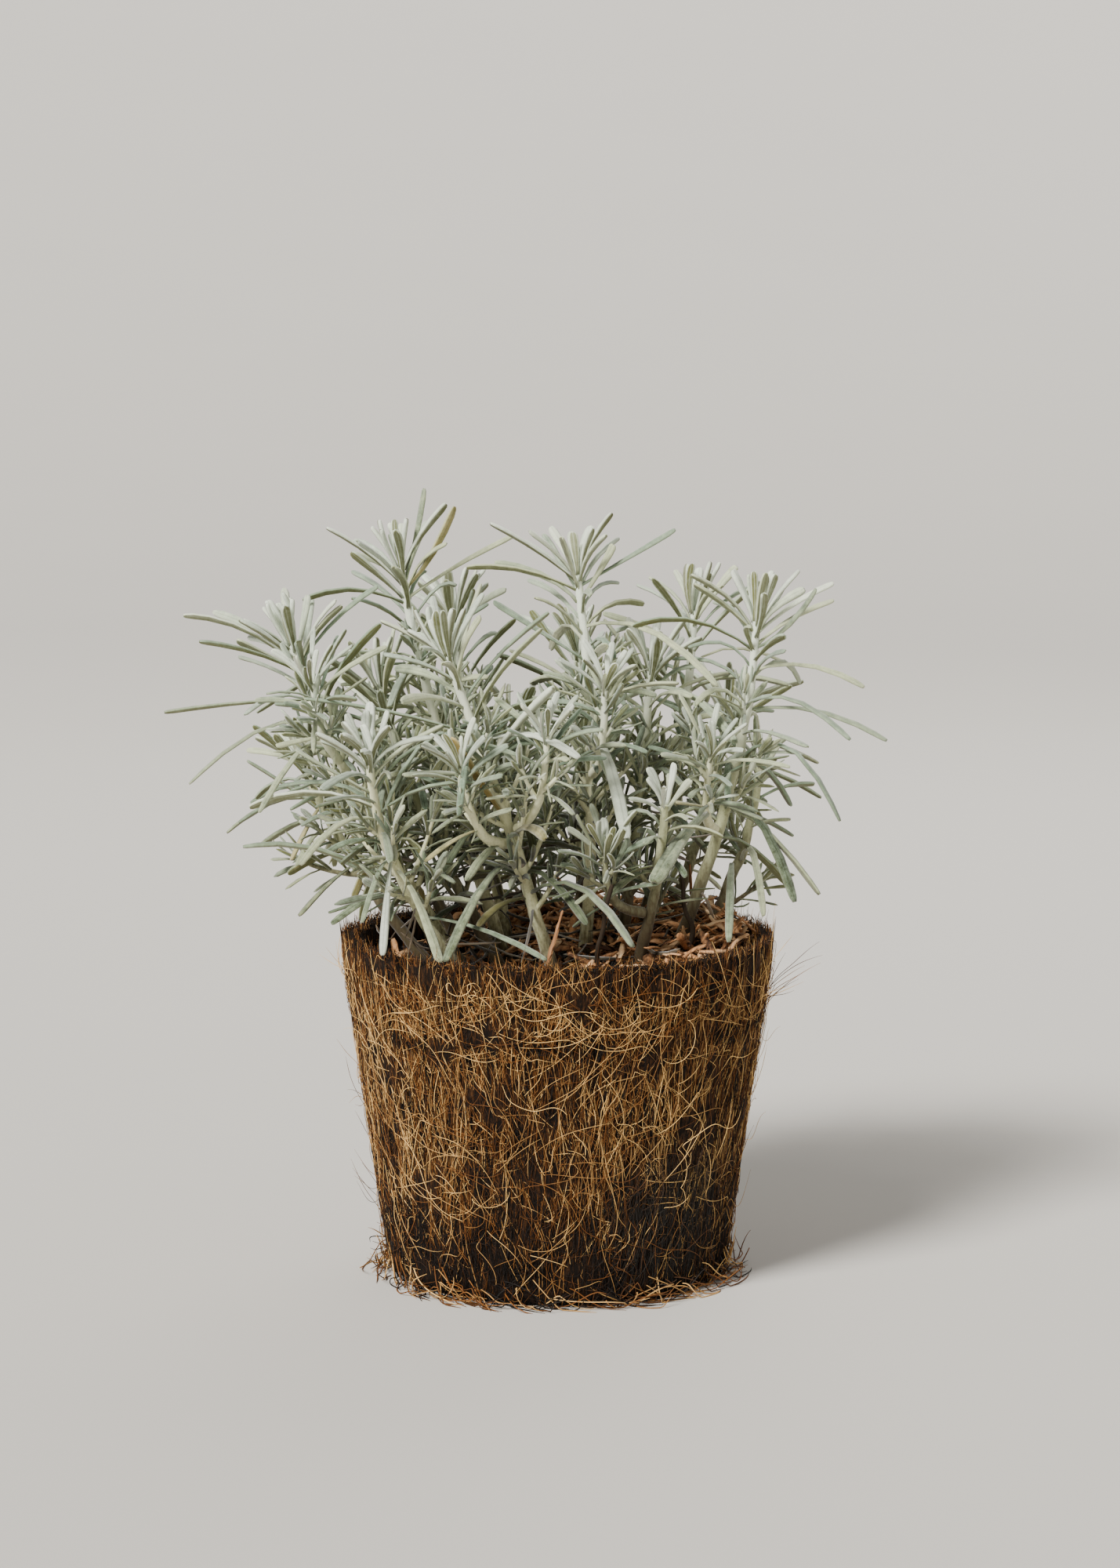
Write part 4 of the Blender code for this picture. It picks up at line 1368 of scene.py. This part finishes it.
class FibreRecipe(Recipe):
    """Curly fibres strewn over a cone: planned flat, as turns round it and heights, then wrapped."""

    INPUTS = {
        "Count": ("Int", 1000), "Seed": ("Int", 0), "Sides": ("Int", 3), "Bends": ("Int", 10),
        "First turn": ("Float", 0.0), "Last turn": ("Float", FULL_TURN),
        "Base radius": ("Float", 0.05), "Slope": ("Float", 0.15),
        "Lowest": ("Float", 0.0), "Highest": ("Float", 0.1),
        "Least length": ("Float", 0.01), "Most length": ("Float", 0.03),
        "Heading": ("Float", math.pi / 2), "Heading spread": ("Float", 0.7),
        "Waviness": ("Float", 2 * MM), "Looping": ("Float", 2 * MM),
        "Rise": ("Float", 0.8 * MM), "Sink": ("Float", 0.3 * MM), "Thickness": ("Float", 0.12 * MM),
        "Least tone": ("Float", 0.0), "Most tone": ("Float", 1.0), "Flare": ("Float", 0.0),
        "Material": ("Material", None),
    }

    def __init__(self) -> None:
        """Build the tree."""
        super().__init__("fibres_on_cone", self.INPUTS)
        given = self.given
        points = self.wire("GeometryNodePoints", None, {"Count": given("Count"), "Radius": 0.0})
        points = self.store(points, {
            "turn": self.range("First turn", "Last turn", self.chance(0.0, 1.0, 1)),
            "level": self.range("Lowest", "Highest", self.chance(0.0, 1.0, 2)),
            "heading": given("Heading") + given("Heading spread") * self.chance(-1.0, 1.0, 3),
            "length": self.range("Least length", "Most length", self.chance(0.0, 1.0, 4)),
            "wave": given("Waviness") * self.chance(-1.0, 1.0, 5),
            "loop": given("Looping") * self.chance(-1.0, 1.0, 6),
            "beats": self.chance(0.2, 1.1, 7),
            "phase": self.chance(0.0, FULL_TURN, 8),
            "lift": given("Rise") * self.chance(0.05, 1.0, 9) ** 2.0,
            "tone": self.range("Least tone", "Most tone", self.chance(0.0, 1.0, 10)),
            "flare": given("Flare") * self.chance(0.2, 1.0, 11),
        })
        ends = {"Start": (0, 0, 0), "End": (1, 0, 0)}
        line = self.wire("GeometryNodeCurvePrimitiveLine", {"mode": "POINTS"}, ends)
        bent = self.wire("GeometryNodeResampleCurve", None, {"Curve": line, "Count": given("Bends")})
        along = self.parts(self.wire("GeometryNodeInputPosition"))[0]
        flat = self.store(self.copies(points, bent), {"along": along})
        taper = given("Thickness") * self.spread(self.kept("along"), 0.75, 1.0, (1.0, 0.35))
        self.close(self.tube(self.moved(flat, self._wrapped(along)), taper))

    def _wrapped(self, along: Wire) -> Wire:
        """A fibre's place round the cone.

        Args:
            along: the share of its length.

        Returns:
            The place.
        """
        kept, given = self.kept, self.given
        beat = kept("phase") + kept("beats") * along * FULL_TURN
        forward = kept("length") * (along - 0.5) + kept("loop") * self.math("COSINE", beat * 1.7)
        sideways = kept("wave") * self.math("SINE", beat) + kept("loop") * self.math("SINE", beat * 1.7)
        cosine, sine = self.math("COSINE", kept("heading")), self.math("SINE", kept("heading"))
        over = forward * cosine - sideways * sine
        level = kept("level") + forward * sine + sideways * cosine
        arc = self.math("SINE", along * math.pi)
        wall = given("Base radius") + given("Slope") * level
        reach = wall - given("Sink") + kept("lift") * (0.25 + 0.75 * arc) + kept("flare") * along * along
        angle = kept("turn") + over / wall
        height = self.math("MAXIMUM", level, 0.25 * MM)
        return self.vector(reach * self.math("COSINE", angle), reach * self.math("SINE", angle), height)


class Span(Enum):
    """Whether a layer's lowest and highest levels are measured from the pot's foot, 0, or its rim, 1."""

    WALL = (0, 1)
    FOOT = (0, 0)
    RIM = (1, 1)


@dataclass(frozen=True)
class FibreLayer:
    """One layer of fibres round the pot, with its lengths in millimetres."""

    name: str
    count: int
    seed: int
    bends: int
    levels: tuple[float, float]
    lengths: tuple[float, float]
    headings: float
    waviness: float
    looping: float
    rise: float
    thickness: float
    tones: tuple[float, float]
    span: Span = Span.WALL
    heading: float = math.pi / 2
    sink: float = 0.3
    flare: float = 0.0
    turns: tuple[float, float] = (0.0, FULL_TURN)

    def values(self, rim: float) -> dict[str, float]:
        """The fibre recipe's inputs.

        Args:
            rim: the height of the pot's rim, in metres.

        Returns:
            The inputs by name.
        """
        low, high = (rim * share + level * MM for share, level in zip(self.span.value, self.levels))
        return {
            "Count": self.count, "Seed": self.seed, "Bends": self.bends, "Lowest": low, "Highest": high,
            "Least length": self.lengths[0] * MM, "Most length": self.lengths[1] * MM,
            "Heading": self.heading, "Heading spread": self.headings, "Waviness": self.waviness * MM,
            "Looping": self.looping * MM, "Rise": self.rise * MM, "Sink": self.sink * MM,
            "Thickness": self.thickness * MM, "Least tone": self.tones[0], "Most tone": self.tones[1],
            "Flare": self.flare * MM, "First turn": self.turns[0], "Last turn": self.turns[1],
        }


# After its name, each layer's count, seed, bends, levels, lengths, headings, waviness, looping, rise,
# thickness and tones.
LAYERS = (
    FibreLayer("coir_under_layer", 4800, 11, 6, (2, -3), (9, 22), 0.3, 0.9, 0.3, 0.5, 0.11, (-0.5, 0.75)),
    FibreLayer("coir_middle_layer", 4300, 12, 7, (3, -4), (7, 22), 0.45, 1.6, 0.4, 1.0, 0.09, (-0.2, 1.1)),
    FibreLayer("coir_upright_layer", 5600, 22, 6, (6, -5), (10, 26), 0.22, 1.0, 0.25, 1.0, 0.07,
               (-0.3, 0.78)),
    FibreLayer("coir_fine_curls", 3400, 18, 8, (4, -5), (4, 12), 1.2, 2.2, 1.0, 1.4, 0.078, (-0.1, 1.05)),
    FibreLayer("coir_long_curls", 560, 13, 20, (14, -8), (12, 38), 1.5, 5.0, 2.4, 2.0, 0.088, (0.25, 1.05)),
    FibreLayer("coir_foot_curls", 190, 20, 14, (3, 34), (7, 22), 1.5, 3.4, 2.2, 2.4, 0.09, (0.55, 1.25),
               Span.FOOT, heading=0.3),
    FibreLayer("coir_upper_curls", 380, 19, 18, (74, -6), (10, 34), 1.0, 4.0, 2.4, 2.4, 0.09, (0.3, 1.1),
               heading=0.0),
    FibreLayer("coir_rim_fray", 5200, 14, 5, (-5.0, 0.8), (1.5, 6.5), 1.3, 0.9, 0.5, 1.6, 0.1, (-0.4, 0.68),
               Span.RIM, sink=1.6),
    FibreLayer("coir_rim_inside", 3000, 17, 5, (-7, 0.6), (2, 7), 1.4, 0.8, 0.5, 1.6, 0.1, (-0.3, 0.75),
               Span.RIM, sink=5.2),
    FibreLayer("coir_stray_hairs", 110, 15, 20, (20, 0), (12, 28), 1.4, 5.0, 2.0, 3.0, 0.09, (0.5, 1.0),
               flare=8),
    FibreLayer("coir_side_tuft", 12, 21, 20, (84, 92), (8, 18), 0.9, 1.5, 0.5, 2.0, 0.11, (0.1, 0.8),
               Span.FOOT, flare=17, turns=(-0.5, 0.1)),
    FibreLayer("root_tangle", 300, 16, 16, (0.3, 3), (8, 24), 0.9, 2.6, 1.6, 7.0, 0.2, (-0.1, 0.9),
               Span.FOOT, heading=0.0, sink=0.2, flare=8),
)


@dataclass
class CoirPot:
    """The moulded pot: a pressed mat, layers of curly fibre over it, and frayed edges."""

    shape: PotShape
    around: int = 160
    up: int = 44
    lumps: float = 0.9 * MM
    lumps_to_a_metre: float = 90
    inset: float = 0.4 * MM
    thin: float = 1.0

    def build(self) -> None:
        """Make every layer of the pot."""
        own(self._mat(), MAT, "coir_pot")
        shape, fibres = self.shape, FibreRecipe()
        slope = (shape.top_radius - shape.base_radius) / shape.height
        for layer in LAYERS:
            root = layer.name == "root_tangle"
            finish = ROOT_FIBRE if root else FIBRE
            values = layer.values(shape.height) | {
                "Base radius": shape.base_radius, "Slope": slope, "Material": finish.material(),
                "Count": max(3, int(layer.count * self.thin)),
            }
            own(fibres.make(layer.name, None, values), finish, *(["root_fringe"] if root else []))

    def _profile(self) -> list[tuple[float, float]]:
        """The wall's section, down the middle of the floor, out, up the outside and down the inside.

        Returns:
            Pairs of radius and height.
        """
        shape, foot, edge = self.shape, 3 * MM, 1.2 * MM
        outer = [(shape.base_radius - foot, 0.0), (shape.base_radius - 0.3 * foot, 0.3 * foot)]
        outer += [(shape.radius(z), z) for z in np.linspace(foot, shape.height - edge, self.up)]
        lip = [
            (shape.top_radius - 1.3 * MM, shape.height),
            (shape.top_radius - 2.5 * MM, shape.height + 0.2 * MM),
            (shape.top_radius - shape.wall + edge, shape.height)]
        levels = np.linspace(shape.height - edge, shape.floor, self.up // 2)
        inner = [(shape.radius(z) - shape.wall, z) for z in levels]
        return [(0.0, 0.0), *outer, *lip, *inner, (0.0, shape.floor)]

    def _mat(self) -> bpy.types.Object:
        """The wall as a closed, lumpy shell.

        Returns:
            The shell.
        """
        bm = bmesh.new()
        rings, count = [], self.around
        for radius, z in self._profile():
            ring = []
            for step in range(count if radius else 1):
                out = Vector((math.cos(FULL_TURN * step / count), math.sin(FULL_TURN * step / count), 0.0))
                place = out * radius + Vector((0.0, 0.0, z))
                lump = noise.fractal(place * self.lumps_to_a_metre, 1.0, 2.0, 3) if z >= 1 * MM else 0.0
                if radius:
                    place += out * (lump * self.lumps - self.inset)
                ring.append(bm.verts.new(place))
            rings.append(ring)
        for lower, upper in zip(rings, rings[1:]):
            for i in range(count):
                j = (i + 1) % count
                pairs = (lower, i), (lower, j), (upper, j), (upper, i)
                bm.faces.new(tuple(dict.fromkeys(row[k % len(row)] for row, k in pairs)))
        bmesh.ops.recalc_face_normals(bm, faces=bm.faces)
        return smooth_from("coir_mat", bm)


# ---------------------------------------------------------------- filling


class ChipRecipe(Recipe):
    """Chips strewn over a surface, lying at all angles, thicker towards one side."""

    INPUTS = {
        "Chip": ("Object", None), "Seed": ("Int", 0), "Density": ("Float", 60000.0),
        "Least size": ("Float", 0.5), "Most size": ("Float", 1.2), "Tilt": ("Float", 0.5),
        "Lean": ("Vector", (0.8, 0.6, 0.0)), "Evenness": ("Float", 0.3),
        "Rise": ("Float", 1 * MM), "Least tone": ("Float", 0.0), "Most tone": ("Float", 1.0),
        "Material": ("Material", None),
    }

    def __init__(self) -> None:
        """Build the tree."""
        super().__init__("strewn_chips", self.INPUTS)
        given, chance = self.given, self.chance
        slope = self.measure("DOT_PRODUCT", self.wire("GeometryNodeInputPosition"), given("Lean"))
        thick = self.math("MINIMUM", given("Evenness") + self.spread(slope, -0.035, 0.035), 1.0)
        upness = self.parts(self.wire("GeometryNodeInputNormal"))[2]
        sockets = {
            "Mesh": given("Geometry"), "Density": given("Density") * thick, "Seed": given("Seed"),
            "Selection": self.math("GREATER_THAN", upness, 0.4),
        }
        settings = {"distribute_method": "RANDOM"}
        points = self.wire("GeometryNodeDistributePointsOnFaces", settings, sockets, "Points")
        points = self.store(points, {"tone": self.range("Least tone", "Most tone", chance(0.0, 1.0, 1))})
        rise = self.vector(0.0, 0.0, given("Rise") * thick * chance(0.0, 1.0, 2))
        raised = self.wire("GeometryNodeSetPosition", None, {"Geometry": points, "Offset": rise})
        tilt = given("Tilt")
        turn = self.vector(tilt * chance(-1.0, 1.0, 3), tilt * chance(-1.0, 1.0, 4), chance(0.0, 6.28, 5))
        size = self.range("Least size", "Most size", chance(0.0, 1.0, 6) ** 1.6)
        sockets = {"Points": raised, "Instance": self.object_shape("Chip"), "Rotation": turn, "Scale": size}
        self.close(self.wire("GeometryNodeInstanceOnPoints", None, sockets))


@dataclass(frozen=True)
class ChipShape:
    """A torn sliver, along +X: its size, and how many stations and sides it is built on."""

    name: str
    length: float
    width: float
    depth: float
    seed: int
    stations: int = 5
    sides: int = 5
    drift: float = 0.12

    def template(self) -> bpy.types.Object:
        """The sliver as a closed mesh.

        Returns:
            The sliver.
        """
        rng = np.random.default_rng(self.seed)
        points = []
        for station in range(self.stations):
            share = station / (self.stations - 1)
            size = 0.35 + 0.65 * math.sin(math.pi * min(0.93, max(0.1, share))) ** 0.6
            drift = rng.normal(0, self.drift, 2) * self.width
            for side in range(self.sides):
                angle = FULL_TURN * side / self.sides + 0.3
                rough = size * rng.uniform(0.7, 1.25)
                jag = rng.uniform(-0.4, 0.4) * self.length / self.stations
                points.append((
                    (share - 0.5) * self.length + jag,
                    math.cos(angle) * self.width / 2 * rough + drift[0],
                    math.sin(angle) * self.depth / 2 * rough + drift[1] * 0.5,
                ))
        return placed(self.name, mesh_from(self.name, points, tube_faces(self.stations, self.sides)))


@dataclass
class Filling:
    """Compost, the heap of bark mulch on it, and the larger splinters."""

    thin: float = 1.0
    lumps: float = 1.2 * MM
    lumps_to_a_metre: float = 260
    cuts: int = 3
    splinter_width: float = 2.1 * MM
    splinter_tone: float = 0.55

    def build(self) -> None:
        """Make the heap, its chips and crumbs, and dress the splinters and the compost."""
        heap, recipe = self._heap(), ChipRecipe()
        for name, shape, finish, values in (
            ("bark_slivers", ChipShape("long_chip", 10 * MM, 2.1 * MM, 0.9 * MM, 3), BARK, {
                "Density": 110000.0, "Seed": 31, "Tilt": 0.75, "Evenness": 0.10, "Rise": 11 * MM,
                "Least size": 0.45, "Most size": 1.35}),
            ("bark_flakes", ChipShape("broad_chip", 8 * MM, 3.6 * MM, 1.0 * MM, 5), BARK, {
                "Density": 60000.0, "Seed": 32, "Tilt": 0.6, "Evenness": 0.06, "Rise": 8 * MM,
                "Least tone": 0.1, "Least size": 0.4, "Most size": 1.2}),
            ("compost_crumbs", ChipShape("crumb", 2.0 * MM, 1.6 * MM, 1.2 * MM, 8, 4), SOIL, {
                "Density": 160000.0, "Seed": 33, "Tilt": 1.5, "Evenness": 0.8, "Rise": 0.8 * MM,
                "Least size": 0.4, "Most size": 1.3}),
        ):
            chip = shape.template()
            values |= {"Chip": chip, "Material": finish.material(), "Density": values["Density"] * self.thin}
            own(recipe.make(name, heap.data, values), finish)
            discard(chip)
        own(heap, SOIL, "bark_mulch")
        SOIL.dress(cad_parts["compost"])
        for name in ("wood_splinter_front", "wood_splinter_back", "wood_splinter_side"):
            own(self._splinter(name), SPLINTER, name)

    def _splinter(self, node: str) -> bpy.types.Object:
        """A torn sliver of wood along the CAD splinter, in a narrow jagged section.

        Args:
            node: the CAD splinter.

        Returns:
            The sliver.
        """
        found = node_points(node)
        middle, axis = found.mean(0), main_axis(found)
        ends = (found - middle) @ axis
        width = self.splinter_width
        length = ends.max() - ends.min()
        shape = ChipShape(f"torn_{node}", length, width, 0.55 * width, len(node), 16, 7, 0.04)
        made = shape.template()
        centre = Vector(middle + axis * (ends.max() + ends.min()) / 2)
        turn = Vector((1, 0, 0)).rotation_difference(Vector(axis)).to_matrix().to_4x4()
        made.data.transform(Matrix.Translation(centre) @ turn)
        add_numbers(made.data, "tone", [self.splinter_tone] * len(made.data.vertices))
        return made

    def _heap(self) -> bpy.types.Object:
        """A merged copy of the CAD heap, cut finer and roughened above its base.

        Returns:
            The heap.
        """
        bm = bmesh.new()
        bm.from_mesh(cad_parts["bark_mulch"].data)
        bmesh.ops.remove_doubles(bm, verts=bm.verts, dist=0.01 * MM)
        bmesh.ops.subdivide_edges(bm, edges=bm.edges, cuts=self.cuts, use_grid_fill=True)
        base = min(vert.co.z for vert in bm.verts)
        for vert in bm.verts:
            if vert.co.z > base + 0.5 * MM:
                lump = noise.fractal(vert.co * self.lumps_to_a_metre, 1.0, 2.0, 3)
                vert.co += self.lumps * lump * Vector((0.4, 0.4, 1.0))
        return smooth_from("compost_heap", bm)


# ---------------------------------------------------------------- studio


@dataclass(frozen=True)
class Studio:
    """Camera, floor and soft light."""

    distance: float = 1.1064
    tilt: float = math.radians(7.01)
    aim_height: float = 147 * MM
    sideways: float = 0.8 * MM
    lens: float = 85.0
    sensor: float = 36.0
    floor_radius: float = 2.5
    floor_bend: float = 12.0
    floor_rise: float = math.radians(45)
    floor_sides: int = 96
    floor_rings: int = 24
    light: Colour = (1.0, 0.975, 0.92)
    sky: Colour = (0.95, 0.93, 0.90)
    sky_strength: float = 0.26

    def build(self) -> None:
        """Set up the shot."""
        self._camera()
        self._floor()
        self._lamp("key", "SUN", (-0.85, -1.0, 1.25), math.radians(18), 6.4)
        self._lamp("fill", "AREA", (1.3, -0.9, 0.6), 1.2, 1.5)
        self._lamp("back", "AREA", (0.3, 1.1, 1.2), 1.0, 8.0)
        world = bpy.data.worlds.new("studio")
        bpy.context.scene.world = world
        world.use_nodes = True
        backdrop = world.node_tree.nodes["Background"]
        backdrop.inputs["Color"].default_value = (*self.sky, 1.0)
        backdrop.inputs["Strength"].default_value = self.sky_strength

    def _camera(self) -> None:
        """The camera, looking slightly down at the plant."""
        data = bpy.data.cameras.new("camera")
        data.lens = self.lens
        data.sensor_width = self.sensor
        camera = placed("camera", data)
        back = self.distance * math.cos(self.tilt)
        camera.location = (self.sideways, -back, self.aim_height + self.distance * math.sin(self.tilt))
        camera.rotation_euler = (math.pi / 2 - self.tilt, 0.0, 0.0)
        bpy.context.scene.camera = camera

    def _floor(self) -> None:
        """A round paper floor, sweeping up gently at its far edge."""
        bend, sides = self.floor_bend, self.floor_sides
        steps = np.linspace(0, self.floor_rise, self.floor_rings)
        profile = [(self.floor_radius + bend * math.sin(turn), bend * (1 - math.cos(turn))) for turn in steps]
        points, faces = [(0.0, 0.0, 0.0)], []
        for radius, height in profile:
            for side in range(sides):
                angle = FULL_TURN * side / sides
                points.append((radius * math.cos(angle), radius * math.sin(angle), height))
        for side in range(sides):
            after = (side + 1) % sides
            faces.append((0, 1 + side, 1 + after))
            for ring in range(len(profile) - 1):
                low = 1 + ring * sides
                faces.append((low + side, low + sides + side, low + sides + after, low + after))
        mesh = mesh_from("floor", points, faces)
        mesh.shade_smooth()
        mesh.materials.append(PAPER.material())
        placed("floor", mesh)

    def _lamp(self, name: str, kind: str, place: Triple, size: float, power: float) -> None:
        """A soft light that faces the plant.

        Args:
            name: its name.
            kind: SUN or AREA.
            place: where it stands.
            size: an area's width in metres, or the angle that a sun fills.
            power: its strength.
        """
        data = bpy.data.lights.new(name, kind)
        if kind == "SUN":
            data.angle = size
        else:
            data.size = size
        data.energy = power
        data.color = self.light
        lamp = placed(name, data)
        lamp.location = place
        lamp.rotation_euler = (Vector((0, 0, 0.12)) - Vector(place)).to_track_quat("-Z", "Y").to_euler()


def main() -> None:
    """Build the studio, the pot, its filling and the plant."""
    noise.seed_set(SWAY_SEED)
    logging.basicConfig(level=logging.INFO, format="%(name)s: %(message)s")
    thin = 1.0
    Studio().build()
    CoirPot(PotShape.from_frame(), thin=thin).build()
    Filling(thin=thin).build()
    Plant().build()
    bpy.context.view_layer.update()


if __name__ == "__main__":
    main()
